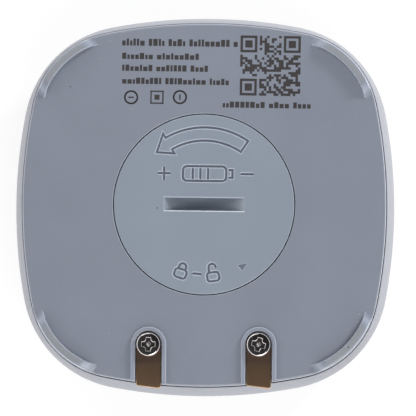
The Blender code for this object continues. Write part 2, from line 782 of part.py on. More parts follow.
def make_probe(name, side):
    """A probe strip: sheet metal with a round end and a slanted free end that is bent up a little."""
    x = side * probe_spacing / 2
    half = strip_width / 2
    end = -plate_half - strip_overhang
    bend = probe_y - strip_bend_start
    path = [(probe_y + strip_width, strip_middle), (bend, strip_middle),
            (end - strip_width, strip_middle + strip_rise * (bend - end + strip_width) / (bend - end))]
    strip = bent_strip(name, path, strip_width + 1.0 * mm, strip_thickness, (x, 0.0))
    tip = half * sin(strip_slant) / cos(strip_slant)
    points = []
    for step in range(13):
        angle = pi * step / 12
        points.append((x + half * cos(angle), probe_y + half * sin(angle)))
    for inward, first, level in ((1, pi, end + tip), (-1, 3 * pi / 2, end - tip)):
        centre_x = x - inward * (half - strip_corner)
        for step in range(4):
            angle = first + pi / 2 * step / 3
            points.append((centre_x + strip_corner * cos(angle),
                           level + strip_corner * (1 + sin(angle))))
    cut(strip, prism(name + "_blank", points, plate_top - overcut, feet_top + overcut), "INTERSECT")
    hole = cylinder(name + "_hole", probe_thread_radius + side_gap / 2, plate_top - overcut,
                    feet_top, x, probe_y, steps=20)
    cut(strip, hole)
    finish(strip, gilt_brass)

    seat = strip_middle + strip_thickness / 2 + seat_gap / 2
    screw(name + "_screw", x, probe_y, seat, probe_screw_length, probe_thread_radius,
          probe_head_radius, feet_top - seat, -1, steel)

    bore = probe_thread_radius + seat_gap
    outer = probe_thread_radius + side_gap + insert_wall
    waist = outer - insert_neck
    top = insert_low + insert_length
    profile = [(bore, top), (outer, top), (outer, insert_low + 0.62 * insert_length),
               (waist, insert_low + 0.56 * insert_length), (waist, insert_low + 0.44 * insert_length),
               (outer, insert_low + 0.38 * insert_length), (outer, insert_low), (bore, insert_low),
               (bore, top)]
    finish(turned(name + "_insert", profile, steps=20, x=x, y=probe_y), gilt_brass)

    spring_low = board_top + seat_gap + spring_wire
    spring_high = insert_low - seat_gap - spring_wire
    per_turn = 10
    points = []
    count = spring_turns * per_turn
    for step in range(count + 1):
        angle = 2 * pi * step / per_turn
        share = step / count
        points.append((x + spring_radius * cos(angle), probe_y + spring_radius * sin(angle),
                       spring_low + (spring_high - spring_low) * share))
    finish(wire(name + "_spring", points, spring_wire), steel)


def make_board():
    """The circuit board with its screw holes."""
    board = prism("circuit_board", plate_outline(board_offset), board_bottom, board_top)
    for index, (x, y) in enumerate(boss_places()):
        hole = cylinder("board_hole_%d" % index, board_thread_radius + side_gap,
                        board_bottom - 0.5 * mm, board_top + 0.5 * mm, x, y, steps=16)
        cut(board, hole)
    finish(board, board_green)
    for index, (x, y) in enumerate(boss_places()):
        screw("board_screw_%d" % (index + 1), x, y, board_bottom - seat_gap, board_screw_length,
              board_thread_radius, board_head_radius, board_head_height, 1, steel)


def make_electronics():
    """Pieces soldered to the board: on its back beside the well, and on its front."""
    above = board_top + seat_gap
    below = board_bottom - seat_gap
    size = (module_length, board_lane - 2 * module_gap, module_height)
    middle = (0.0, lane_middle, above + module_height / 2)
    finish(soft_block("radio_module", size, middle, can_edge), steel)

    radius = board_lane / 2 - sounder_gap
    top = above + sounder_height
    profile = [(0.0, top - sounder_recess), (sounder_hole, top - sounder_recess), (sounder_hole, top),
               (radius - 2 * part_edge, top), (radius, top - 2 * part_edge), (radius, above),
               (0.0, above)]
    finish(turned("sounder", profile, steps=28, x=-lane_middle), black_plastic)

    radius = capacitor_radius
    top = above + capacitor_height
    crimp = above + crimp_height
    profile = [(0.0, top - part_edge), (radius - 5 * part_edge, top - part_edge),
               (radius - 3 * part_edge, top), (radius, top - can_edge), (radius, crimp + can_edge),
               (radius - can_edge, crimp), (radius, crimp - can_edge), (radius, above), (0.0, above)]
    finish(turned("storage_capacitor", profile, steps=24, y=-lane_middle), blue_sleeve)

    length = aerial_turns * aerial_pitch
    per_turn = 10
    centre_x = lane_middle + aerial_shift
    centre_z = above + aerial_radius + aerial_wire
    points = [(centre_x, -length / 2 - aerial_lead, above + aerial_wire),
              (centre_x, -length / 2 - aerial_lead / 3, above + aerial_wire)]
    count = aerial_turns * per_turn
    for step in range(count + 1):
        angle = 2 * pi * step / per_turn
        points.append((centre_x + aerial_radius * sin(angle), -length / 2 + length * step / count,
                       centre_z - aerial_radius * cos(angle)))
    finish(wire("aerial", points, aerial_wire), gilt_brass)

    size = (chip_side, chip_side, chip_height)
    middle = (0.0, -chip_shift, below - chip_height / 2)
    finish(soft_block("microcontroller", size, middle, part_edge), black_plastic)
    size = (crystal_length, crystal_width, crystal_height)
    middle = ((chip_side + crystal_length) / 2 + crystal_gap, -chip_shift, below - crystal_height / 2)
    finish(soft_block("crystal", size, middle, part_edge), steel)

    lamp_y = plate_half - light_pipe_inset
    size = (lamp_length, lamp_width, lamp_height)
    middle = (0.0, lamp_y, below - lamp_height / 2)
    finish(soft_block("status_lamp", size, middle, part_edge), lamp_lens)
    pipe_top = below - lamp_height - seat_gap
    flange_low = front_wall + seat_gap
    flange_radius = light_pipe_radius + light_pipe_flange
    profile = [(0.0, pipe_top), (flange_radius - part_edge, pipe_top), (flange_radius, flange_low),
               (light_pipe_radius, flange_low), (light_pipe_radius, part_edge),
               (light_pipe_radius - part_edge, 0.0), (0.0, 0.0)]
    finish(turned("light_pipe", profile, steps=20, y=lamp_y), lamp_lens)


clear_scene()
parts = make_collection("water_leak_sensor")
cutters = make_collection("cutters")

white_plastic = make_material("white_plastic", (0.86, 0.87, 0.88), 0.3)
grey_plastic = make_material("grey_plastic", (0.24, 0.27, 0.33), 0.55)
light_grey_plastic = make_material("light_grey_plastic", (0.28, 0.32, 0.37), 0.55)
black_rubber = make_material("black_rubber", (0.02, 0.02, 0.02), 0.8)
black_plastic = make_material("black_plastic", (0.03, 0.03, 0.03), 0.4)
blue_sleeve = make_material("blue_sleeve", (0.03, 0.06, 0.2), 0.35)
board_green = make_material("board_green", (0.02, 0.16, 0.07), 0.4)
lamp_lens = make_material("lamp_lens", (0.9, 0.92, 0.9), 0.15)
steel = make_material("steel", (0.62, 0.6, 0.58), 0.25, 1.0)
nickel = make_material("nickel", (0.6, 0.57, 0.5), 0.3, 1.0)
gilt_brass = make_material("gilt_brass", (0.45, 0.33, 0.2), 0.35, 1.0)

make_front_cover()
make_back_cover()
make_battery_cover()
seal_height = ledge_top + seat_gap + seal_section / 2
make_o_ring("battery_cover_seal", spigot_radius + seat_gap + seal_section / 2, seal_section, seal_height)
make_housing_seal()
make_coin_cell()
make_contacts()
make_board()
make_electronics()
make_probe("left_probe", -1)
make_probe("right_probe", 1)
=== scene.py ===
# Water leak sensor, lying face down on a white table and seen from above.
# The frame holds the sizes; this script gives every surface its finish.

from math import asin, atan2, cos, pi, radians, sin, sqrt, tan
import random

import bpy
import bmesh
from mathutils import Matrix, Vector


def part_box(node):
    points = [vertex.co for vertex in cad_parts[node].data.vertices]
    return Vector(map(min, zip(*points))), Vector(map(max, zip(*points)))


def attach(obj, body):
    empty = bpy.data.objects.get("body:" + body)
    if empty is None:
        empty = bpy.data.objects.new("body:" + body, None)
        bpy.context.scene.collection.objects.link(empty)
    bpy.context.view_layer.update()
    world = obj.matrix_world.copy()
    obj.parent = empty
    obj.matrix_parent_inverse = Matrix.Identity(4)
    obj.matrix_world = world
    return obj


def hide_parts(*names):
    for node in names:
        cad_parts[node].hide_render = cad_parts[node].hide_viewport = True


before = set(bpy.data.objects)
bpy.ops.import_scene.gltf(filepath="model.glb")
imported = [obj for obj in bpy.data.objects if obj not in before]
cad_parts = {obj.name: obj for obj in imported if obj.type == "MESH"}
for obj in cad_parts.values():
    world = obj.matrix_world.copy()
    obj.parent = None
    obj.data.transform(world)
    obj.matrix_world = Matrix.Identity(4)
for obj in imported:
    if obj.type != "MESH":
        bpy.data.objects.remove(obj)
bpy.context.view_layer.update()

mm = 0.001
housing = "housing"
turning = "battery_cover"

# Heights and sizes that several pieces share, read from the frame
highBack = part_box("back_cover")[1]
lowCover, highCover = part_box("battery_cover")
plateTop = highCover.z      # the cover lies flush with the plate
feetTop = highBack.z
plateHalf = highBack.x
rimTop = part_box("front_cover")[1].z
creaseDegrees = 32          # edges sharper than this stay crisp

photo = {
    "centre": (204.23, 204.81),   # plate centre in the photograph, in pixels
    "perMm": 6.991,               # pixels a millimetre at the plate
    "roll": radians(0.2),         # how far the part is turned clockwise in the photograph
}


# Helpers

def hexColour(code):
    # sRGB hex to linear RGBA
    channels = [int(code[i:i + 2], 16) / 255 for i in (1, 3, 5)]
    return [c / 12.92 if c <= 0.04045 else ((c + 0.055) / 1.055) ** 2.4 for c in channels] + [1.0]


def newObject(name, data):
    obj = bpy.data.objects.new(name, data)
    bpy.context.scene.collection.objects.link(obj)
    return obj


def toObject(bm, name):
    bmesh.ops.recalc_face_normals(bm, faces=bm.faces[:])
    mesh = bpy.data.meshes.new(name)
    bm.to_mesh(mesh)
    bm.free()
    mesh.shade_smooth()
    mesh.set_sharp_from_angle(angle=radians(creaseDegrees))
    return newObject(name, mesh)


def skin(bm, rings, closed=False):
    # joins rings of vertices with quads; the first and last ring are capped unless closed
    pairs = list(zip(rings, rings[1:]))
    if closed:
        pairs.append((rings[-1], rings[0]))
    count = len(rings[0])
    for lower, upper in pairs:
        for i in range(count):
            j = (i + 1) % count
            bm.faces.new((lower[i], lower[j], upper[j], upper[i]))
    if not closed:
        bm.faces.new(rings[0])
        bm.faces.new(rings[-1])


def loft(name, rings):
    # skins rings of (points, height)
    bm = bmesh.new()
    skin(bm, [[bm.verts.new((x, y, height)) for x, y in points] for points, height in rings])
    return toObject(bm, name)


def turned(name, profile, steps=96, place=(0, 0, 0)):
    # spins (radius, height) points about Z
    bm = bmesh.new()
    verts = [bm.verts.new((r, 0, z)) for r, z in profile]
    for a, b in zip(verts, verts[1:]):
        bm.edges.new((a, b))
    bmesh.ops.spin(bm, geom=bm.verts[:] + bm.edges[:], cent=(0, 0, 0), axis=(0, 0, 1),
                   angle=2 * pi, steps=steps, use_merge=True)
    bmesh.ops.remove_doubles(bm, verts=bm.verts[:], dist=1e-7)
    bmesh.ops.translate(bm, vec=place, verts=bm.verts[:])
    return toObject(bm, name)


def prism(name, points, low, high):
    return loft(name, [(points, low), (points, high)])


def barProfile(name, profile, width, turn):
    # a (distance, height) outline pulled across Y, then turned about Z
    bm = bmesh.new()
    spin = Matrix.Rotation(turn, 4, "Z")
    skin(bm, [[bm.verts.new(spin @ Vector((x, y, z))) for x, z in profile] for y in (-width / 2, width / 2)])
    return toObject(bm, name)


def quarterRound(radius, steps):
    # (inset, drop) down a rounded edge, from the flat above it to the wall below
    angles = [pi / 2 * k / steps for k in range(steps + 1)]
    return [(radius * (1 - sin(a)), radius * (1 - cos(a))) for a in angles]


def middleOf(node):
    low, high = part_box(node)
    return (low + high) / 2


def bakeModifiers(obj):
    # leaves the plain mesh that the modifiers make
    bpy.context.view_layer.update()
    graph = bpy.context.evaluated_depsgraph_get()
    mesh = bpy.data.meshes.new_from_object(obj.evaluated_get(graph))
    obj.modifiers.clear()
    obj.data = mesh
    return obj


def combine(target, tools, operation):
    # boolean with each tool in turn, applied, and the tools removed
    for tool in tools:
        step = target.modifiers.new("step", "BOOLEAN")
        step.operation = operation
        step.solver = "EXACT"
        step.object = tool
    bakeModifiers(target)
    for tool in tools:
        bpy.data.objects.remove(tool)
    return target


def finishPiece(obj, material, body, slot, *nodes, sharp=creaseDegrees):
    # sets the material, evens the shading of flats, hangs the piece on its body and hides the CAD nodes that
    # it replaces
    obj.data.materials.clear()
    obj.data.materials.append(material)
    obj.data.shade_smooth()
    obj.data.set_sharp_from_angle(angle=radians(sharp))
    even = obj.modifiers.new("even", "WEIGHTED_NORMAL")
    even.keep_sharp = True
    even.weight = 100     # large faces lead the shading
    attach(obj, body)
    if nodes:
        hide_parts(*nodes)
    return obj


def arcCentres(half, sideRadius, cornerRadius):
    # how far out the side's and the corner's arcs are centred, and the angle where they meet
    side = half - sideRadius
    spread = (sideRadius - cornerRadius) ** 2
    corner = (2 * side + sqrt(4 * side ** 2 - 8 * (side ** 2 - spread))) / 4
    return side, corner, atan2(corner, corner - side)


def bowedSquare(half, sideRadius, cornerRadius, sideSteps=24, cornerSteps=20):
    # outline with four bowed sides and round corners, as the real moulding has
    side, corner, joint = arcCentres(half, sideRadius, cornerRadius)
    points = []
    for quarter in range(4):
        turn = Matrix.Rotation(quarter * pi / 2, 2)
        for i in range(sideSteps):
            a = joint * (2 * i / sideSteps - 1)
            points.append(turn @ Vector((side + sideRadius * cos(a), sideRadius * sin(a))))
        for i in range(cornerSteps):
            a = joint + (pi / 2 - 2 * joint) * i / cornerSteps
            points.append(turn @ Vector((corner + cornerRadius * cos(a), corner + cornerRadius * sin(a))))
    return points


plate = {
    "sideRadius": 72.4 * mm,
    "cornerRadius": 13.1 * mm,
    "thickness": 1.6 * mm,
    "edgeRound": 0.35 * mm,
    "skirtInset": 1.15 * mm,
    "skirtThickness": 1.4 * mm,
    "skirtDrop": 2.9 * mm,
    "grooveWidth": 0.9 * mm,
    "grooveDepth": 0.6 * mm,
    "grooveDrop": 0.6 * mm,
}
plateBottom = plateTop - plate["thickness"]
skirtBottom = plateBottom - plate["skirtDrop"]


def plateOutline(inset):
    return bowedSquare(plateHalf - inset, plate["sideRadius"] - inset, plate["cornerRadius"] - inset)


# Materials

def newMaterial(name):
    material = bpy.data.materials.new(name)
    material.use_nodes = True
    return material, material.node_tree


def addNode(tree, kind, settings=None, links=None):
    # adds a node; settings go to its properties or input values, links to its inputs
    node = tree.nodes.new(kind)
    for key, value in (settings or {}).items():
        if isinstance(key, int) or key in node.inputs:
            node.inputs[key].default_value = value
        else:
            setattr(node, key, value)
    for key, source in (links or {}).items():
        tree.links.new(source, node.inputs[key])
    return node


def setRamp(node, stops):
    ramp = node.color_ramp
    while len(ramp.elements) > 1:
        ramp.elements.remove(ramp.elements[-1])
    ramp.elements[0].position = stops[0][0]
    ramp.elements[0].color = stops[0][1]
    for position, colour in stops[1:]:
        ramp.elements.new(position).color = colour
    return node


def grey(value):
    return (value, value, value, 1.0)


def halfTint(tint):
    # a brightness or an (r, g, b) factor, halved so that a ramp can hold factors up to 2
    return grey(tint / 2) if isinstance(tint, float) else (*(part / 2 for part in tint), 1.0)


def tintAlong(tree, colour, source, axis, stops, unit=1.0):
    # multiplies a colour by the tint that the stops (value, tint) give along one axis of a vector
    value = addNode(tree, "ShaderNodeSeparateXYZ", links={0: source}).outputs[axis]
    first, last = stops[0][0], stops[-1][0]
    share = addNode(tree, "ShaderNodeMapRange", {1: first * unit, 2: last * unit, 3: 0.0, 4: 1.0}, {0: value})
    halves = [((at - first) / (last - first), halfTint(tint)) for at, tint in stops]
    ramp = setRamp(addNode(tree, "ShaderNodeValToRGB", links={0: share.outputs[0]}), halves)
    tinted = addNode(tree, "ShaderNodeVectorMath", {"operation": "MULTIPLY"},
                     {0: colour, 1: ramp.outputs["Color"]})
    return addNode(tree, "ShaderNodeVectorMath", {"operation": "SCALE", "Scale": 2.0},
                   {0: tinted.outputs[0]}).outputs[0]


def dotted(tree, place, colour, spacing, size, amount, dotColour):
    # scatters soft-edged dots of another colour; spacing and size are in mm
    cells = addNode(tree, "ShaderNodeTexVoronoi", {"Scale": 1 / (spacing * mm), "Randomness": 1.0},
                    {"Vector": place})
    near = size / spacing
    dot = addNode(tree, "ShaderNodeMapRange", {1: near * 0.7, 2: near * 1.5, 3: amount, 4: 0.0},
                  {0: cells.outputs["Distance"]})
    return addNode(tree, "ShaderNodeMix", {"data_type": "RGBA", 7: hexColour(dotColour)},
                   {0: dot.outputs[0], 6: colour}).outputs[2]


def mouldedPlastic(name, colour, roughness, grain=0.12, depth=0.004, mottle=0.05, heights=None, slopes=None,
                   specks=0.0, polish=0.0):
    # moulded plastic: an even colour with a faint flow mottle and a spark-eroded grain
    # the real grain is about 0.03 mm; at 0.12 mm it is just coarse enough to show
    # heights (height in mm, tint) and slopes (normal's z, tint) paint shade and highlights: darker or paler
    # at given heights, and on edges by their slope
    material, tree = newMaterial(name)
    shader = tree.nodes["Principled BSDF"]
    shader.inputs["Roughness"].default_value = roughness
    shader.inputs["IOR"].default_value = 1.53
    shader.inputs["Coat Weight"].default_value = polish
    shader.inputs["Coat Roughness"].default_value = 0.32
    shader.inputs["Coat IOR"].default_value = 1.65
    coordinates = addNode(tree, "ShaderNodeTexCoord").outputs
    place = coordinates["Object"]
    cloud = addNode(tree, "ShaderNodeTexNoise", {"Scale": 1 / (9 * mm), "Detail": 3.0}, {"Vector": place})
    fine = addNode(tree, "ShaderNodeTexNoise", {"Scale": 1 / (0.5 * mm), "Detail": 2.0}, {"Vector": place})
    both = addNode(tree, "ShaderNodeMath", {"operation": "MULTIPLY_ADD", 1: 0.35},
                   {0: fine.outputs["Fac"], 2: cloud.outputs["Fac"]})
    level = addNode(tree, "ShaderNodeMapRange", {1: 0.35, 2: 1.0, 3: 1 - mottle, 4: 1 + mottle},
                    {0: both.outputs[0]})
    result = addNode(tree, "ShaderNodeVectorMath", {"operation": "SCALE", 0: hexColour(colour)[:3]},
                     {"Scale": level.outputs[0]}).outputs[0]
    if heights:
        result = tintAlong(tree, result, place, "Z", heights, mm)
    if slopes:
        result = tintAlong(tree, result, coordinates["Normal"], "Z", slopes)
    if specks:
        result = dotted(tree, place, result, 3.4, 0.1, specks, "#A9A8A6")
    tree.links.new(result, shader.inputs["Base Color"])
    grainNoise = addNode(tree, "ShaderNodeTexNoise", {"Scale": 1 / (grain * mm), "Detail": 2.0},
                         {"Vector": place})
    bump = addNode(tree, "ShaderNodeBump", {"Strength": 0.5, "Distance": depth * mm},
                   {"Height": grainNoise.outputs["Fac"]})
    tree.links.new(bump.outputs[0], shader.inputs["Normal"])
    return material


def platedMetal(name, colour, edgeColour, roughness, grain=0.09, mottle=0.12, fade=None, specks=0.0,
                slopes=None):
    # plated sheet or screw: metal with a speckled face; a list of (y in mm, tint) darkens or lightens it
    # along y, and slopes paint highlights on edges by their slope
    # real plating is finer than this speckle, which is as coarse as it has to be to show
    material, tree = newMaterial(name)
    shader = tree.nodes["Principled BSDF"]
    shader.inputs["Metallic"].default_value = 1.0
    coordinates = addNode(tree, "ShaderNodeTexCoord").outputs
    place = coordinates["Object"]
    speck = addNode(tree, "ShaderNodeTexNoise", {"Scale": 1 / (grain * mm), "Detail": 4.0, "Roughness": 0.7},
                    {"Vector": place})
    stain = addNode(tree, "ShaderNodeTexNoise", {"Scale": 1 / (2.2 * mm), "Detail": 3.0}, {"Vector": place})
    both = addNode(tree, "ShaderNodeMath", {"operation": "MULTIPLY_ADD", 1: 0.8},
                   {0: stain.outputs["Fac"], 2: speck.outputs["Fac"]})
    share = addNode(tree, "ShaderNodeMapRange", {1: 0.5, 2: 1.3, 3: 0.0, 4: 1.0}, {0: both.outputs[0]})
    result = addNode(tree, "ShaderNodeMix",
                     {"data_type": "RGBA", 6: hexColour(colour), 7: hexColour(edgeColour)},
                     {0: share.outputs[0]}).outputs[2]
    if fade:
        result = tintAlong(tree, result, place, "Y", fade, mm)
    if slopes:
        result = tintAlong(tree, result, coordinates["Normal"], "Z", slopes)
    if specks:
        result = dotted(tree, place, result, 0.75, 0.07, specks, edgeColour)
    tree.links.new(result, shader.inputs["Base Color"])
    rough = addNode(tree, "ShaderNodeMapRange",
                    {1: 0.2, 2: 0.8, 3: roughness * (1 - mottle), 4: roughness * (1 + mottle)},
                    {0: speck.outputs["Fac"]})
    tree.links.new(rough.outputs[0], shader.inputs["Roughness"])
    bump = addNode(tree, "ShaderNodeBump", {"Strength": 0.3, "Distance": 0.002 * mm},
                   {"Height": speck.outputs["Fac"]})
    tree.links.new(bump.outputs[0], shader.inputs["Normal"])
    return material


# Tints along the height in mm, or along the slope from 0 for a wall to 1 for a flat top; most of them are
# painted shade and painted highlights
top = plateTop / mm
feet = feetTop / mm
plain = (1.0, 1.0, 1.0)
# painted shade on the feet's walls and painted highlights on their rounded edges
footShade = (0.62, 0.62, 0.63)
footBright = (1.84, 1.75, 1.62)
# a painted highlight for the rounded edges of the grey plastic
highlightTint = (2.0, 1.9, 1.73)
giltHighlight = (1.6, 1.7, 1.25)
# painted shade low down at the plate's edge, painted highlights on its rounded edge, the pocket floors and
# the ribs' tops
backHeights = [(top - 0.7, 0.8), (top - 0.35, 1.2), (top - 0.004, 1.0), (top + 0.05, 1.0), (top + 0.3, 1.22),
               (top + 0.4, 1.22)]
# painted shade at the feet's roots, painted highlights on their ramps and a painted sheen on their tops
footHeights = [(top - 0.1, 1.0), (top + 0.05, 0.95), (top + 0.2, 1.1), (top + 0.42, 1.5), (feet - 0.2, 1.35),
               (feet - 0.06, 1.15), (feet - 0.01, 1.1), (feet - 0.004, (1.22, 1.16, 1.04))]
footEdges = [(0.0, footShade), (0.22, footShade), (0.3, plain), (0.45, footBright), (0.65, footBright),
             (0.82, plain), (1.0, plain)]
# painted highlights on rounded edges, by their slope
paintedEdgeHighlights = [(0.0, plain), (0.25, plain), (0.45, highlightTint), (0.65, highlightTint), (0.82, plain), (1.0, plain)]
# painted shade down in the coin slot
coverHeights = [(top - 2.0, 1.0), (top - 1.2, 0.84), (top - 0.5, 0.78), (top - 0.15, 0.88), (top - 0.05, 1.0)]
# painted highlights on the cover's rounded edges and the slot's lips
coverEdges = [(0.0, 1.0), (0.2, 1.0), (0.4, 1.6), (0.65, 1.6), (0.8, 1.0), (1.0, 1.0)]
# the strips darken from the free end towards the screw
stripFade = [(-26.2, (0.8, 0.78, 0.78)), (-24.0, (0.66, 0.66, 0.66)), (-22.9, (0.6, 0.6, 0.64)),
                (-22.4, (0.45, 0.46, 0.55)), (-18.0, (0.5, 0.5, 0.56))]
# painted highlights on the strips' rolled edges, by their slope
stripEdges = [(0.0, giltHighlight), (0.6, giltHighlight), (0.93, plain), (1.0, plain)]

# grey ABS, moulded: a satin blue-grey, with painted shade low down at the plate's edge and painted highlights
# on its rounded edges, pocket floors and rib tops
greyPlastic = mouldedPlastic("greyAbsMoulded", "#89909E", 0.4, heights=backHeights, slopes=paintedEdgeHighlights,
                             specks=0.5, polish=0.6)
# the same ABS on the feet, with painted highlights on their tops, ramps and rounded edges and painted shade
# on their walls
footPlastic = mouldedPlastic("greyAbsFeetPaintedLight", "#89909E", 0.4, heights=footHeights, slopes=footEdges,
                             specks=0.5, polish=0.6)
# the paler ABS of the battery cover: satin, with painted shade down in the slot and painted highlights on its
# rounded edges
coverPlastic = mouldedPlastic("lightGreyAbsMoulded", "#919BA9", 0.4, heights=coverHeights, slopes=coverEdges,
                              specks=0.25, polish=0.6)
# dirt in the engraving and painted shade of its grooves: duller and darker than the cover
groovePlastic = mouldedPlastic("lightGreyAbsDirtAndShade", "#727986", 0.5)
# the lips of the engraving and the slot: paler, a painted highlight, and a little glossier
lipPlastic = mouldedPlastic("lightGreyAbsLipHighlight", "#B0BAC8", 0.35)
# the slot's lower lip: almost white, a painted highlight
slotHighlightPlastic = mouldedPlastic("lightGreyAbsSlotHighlight", "#D8E0EA", 0.35)
# white ABS of the shell: even and satin, with hardly a mottle
whitePlastic = mouldedPlastic("whiteAbsMoulded", "#B0B2BB", 0.42, grain=0.2, depth=0.002, mottle=0.03)
# black nylon of chips and sounder: dark and half matt
blackPlastic = mouldedPlastic("blackNylonMoulded", "#1E1E20", 0.45)
# clear acrylic of the lamp and its light pipe: pale and glossy
clearLens = mouldedPlastic("clearAcrylicMoulded", "#E6E8E6", 0.12, depth=0.001)
# shrink sleeve of the capacitor: dark blue with a soft shine
blueSleeve = mouldedPlastic("blueShrinkSleeve", "#22376E", 0.35)
# silicone rubber of the seals: black and matt
blackRubber = mouldedPlastic("siliconeRubber", "#1B1B1C", 0.75, grain=0.2, depth=0.01)
# solder mask over copper: a glossy, cloudy green
boardGreen = mouldedPlastic("solderMaskGreen", "#1E5A34", 0.35, grain=0.4, depth=0.006, mottle=0.15)
# dust: pale and dull
dust = mouldedPlastic("paleDust", "#B4B6B8", 0.8)
# pad-print ink: a thin matt near-black, a little uneven
printInk = mouldedPlastic("padPrintInk", "#3C3839", 0.6, mottle=0.12)
# gilt brass sheet, rolled: warm satin metal, speckled, with painted highlights on its rolled edges
giltBrass = platedMetal("giltBrassSheet", "#B79983", "#C8A583", 0.36, fade=stripFade, specks=0.35,
                        slopes=stripEdges)
# turned brass of inserts and aerial: yellow, with a soft shine
plainBrass = platedMetal("brassTurned", "#A3805A", "#C8A468", 0.3)
# steel, nickel-plated: a neutral bright metal that mirrors the room
nickelSteel = platedMetal("nickelPlatedSteel", "#D6CFCF", "#E2DEDD", 0.12)
# the same plating down in a cross recess: darker and duller, a painted shade
recessSteel = platedMetal("nickelPlatedRecessShade", "#6A6567", "#8A8587", 0.3)
# drawn spring wire: grey and half bright
springSteel = platedMetal("springSteelWire", "#9A9891", "#C2BFB8", 0.28)
print("materials made")


# Front cover: the white shell with a full belly and a thin rim

shell = {
    "bulge": 1.25 * mm,
    "bellySide": 72.7 * mm,
    "bellyCorner": 15.9 * mm,
    "bellyHeight": 9.5 * mm,
    "draft": 0.15 * mm,
    "frontFillet": 4.2 * mm,
    "wall": 1.5 * mm,
    "partingGap": 0.065 * mm,
    "cornerTighter": 0.2 * mm,   # how much rounder the opening's corners are than the plate's
    "seat": (0.015 * mm, -0.035 * mm),
    "rimLand": 0.16 * mm,
    "rimRound": 0.12 * mm,
    "ledge": 0.85 * mm,
    "innerFillet": 2.6 * mm,
    "rimArcEnd": 0.6,            # where the belly's arc ends, as a share of the rim's rounding
    # the rim's rounding: (inset as a share of the land, drop as a share of the rounding)
    "rimOuter": [(0.12, 0.25), (0.38, 0.04), (0.6, 0.0)],
    "rimInner": [(0.12, 0.1), (0.0, 0.5)],
    "catchHeight": 0.5 * mm,
    "catchWidth": 6.0 * mm,
    "catchRoot": 0.5 * mm,
    "catchSlope": (0.4 * mm, 0.2 * mm),
    "snapGap": 0.3 * mm,
    "hookFaceInset": 1.95 * mm,
    "lightHole": 1.1 * mm,
    "lightHoleDepth": 3.0 * mm,
}


def bellyOutline(share, inset=0.0):
    v = shell
    land = v["partingGap"] + v["rimLand"]
    bellyHalf = plateHalf + v["partingGap"] + v["bulge"]
    half = bellyHalf + (plateHalf + land - bellyHalf) * share
    side = v["bellySide"] + (plate["sideRadius"] + land - v["bellySide"]) * share
    corner = v["bellyCorner"] + (plate["cornerRadius"] + land - v["bellyCorner"]) * share
    return bowedSquare(half - inset, side - inset, corner - inset)


def openingOutline(out=0.0):
    # the edge of the opening that the plate drops into
    v = shell
    grow = v["partingGap"] + out
    points = bowedSquare(plateHalf + grow, plate["sideRadius"] + grow,
                         plate["cornerRadius"] + grow + v["cornerTighter"])
    return [point + Vector(v["seat"]) for point in points]


def makeFrontShell():
    v = shell
    rings = []
    for inset, drop in quarterRound(v["frontFillet"], 14):
        rings.append((bellyOutline(0, v["draft"] + inset), drop))
    for share in (0.35, 0.7):
        height = v["frontFillet"] + (v["bellyHeight"] - v["frontFillet"]) * share
        rings.append((bellyOutline(0, v["draft"] * (1 - share)), height))
    rings.append((bellyOutline(0), v["bellyHeight"]))
    # the belly draws in to the thin rim along one arc
    roundEdge = v["rimRound"]
    rise = rimTop - roundEdge * v["rimArcEnd"] - v["bellyHeight"]
    bulge = v["bulge"] - v["rimLand"]
    arcRadius = (rise ** 2 + bulge ** 2) / (2 * bulge)
    arcAngle = asin(rise / arcRadius)
    steps = 16
    for i in range(1, steps + 1):
        a = arcAngle * i / steps
        share = arcRadius * (1 - cos(a)) / bulge
        rings.append((bellyOutline(share), v["bellyHeight"] + arcRadius * sin(a)))
    for inset, drop in v["rimOuter"]:
        rings.append((bellyOutline(1.0, v["rimLand"] * inset), rimTop - roundEdge * drop))
    for out, drop in v["rimInner"]:
        rings.append((openingOutline(v["rimLand"] * out), rimTop - roundEdge * drop))
    ledge = plateBottom - v["partingGap"]
    rings.append((openingOutline(), ledge))
    rings.append((plateOutline(v["ledge"]), ledge))
    for inset, drop in quarterRound(v["innerFillet"], 6):
        rings.append((plateOutline(v["ledge"] + drop), v["wall"] + inset))
    obj = loft("frontShell", rings)
    # catches for the back cover's snap hooks, one inside each wall
    catchTop = skirtBottom - v["snapGap"]
    catchBottom = catchTop - v["catchHeight"]
    root = plateHalf - v["ledge"] + v["catchRoot"]
    inner = plateHalf - v["hookFaceInset"] + v["snapGap"]
    slopeIn, slopeDown = v["catchSlope"]
    outline = [(root, catchTop), (inner + slopeIn, catchTop), (inner, catchTop - slopeDown),
               (inner, catchBottom), (root, catchBottom)]
    combine(obj, [barProfile("catch", outline, v["catchWidth"], side * pi / 2) for side in range(4)], "UNION")
    middle = middleOf("light_pipe")
    radius, deep = v["lightHole"], v["lightHoleDepth"]
    outline = [(0, deep), (radius, deep), (radius, -mm), (0, -mm)]
    combine(obj, [turned("hole", outline, 48, (middle.x, middle.y, 0))], "DIFFERENCE")
    return finishPiece(obj, whitePlastic, housing, "white_plastic", "front_cover")


makeFrontShell()
print("front shell made")


# Back cover: plate, feet, ribs and everything moulded behind it

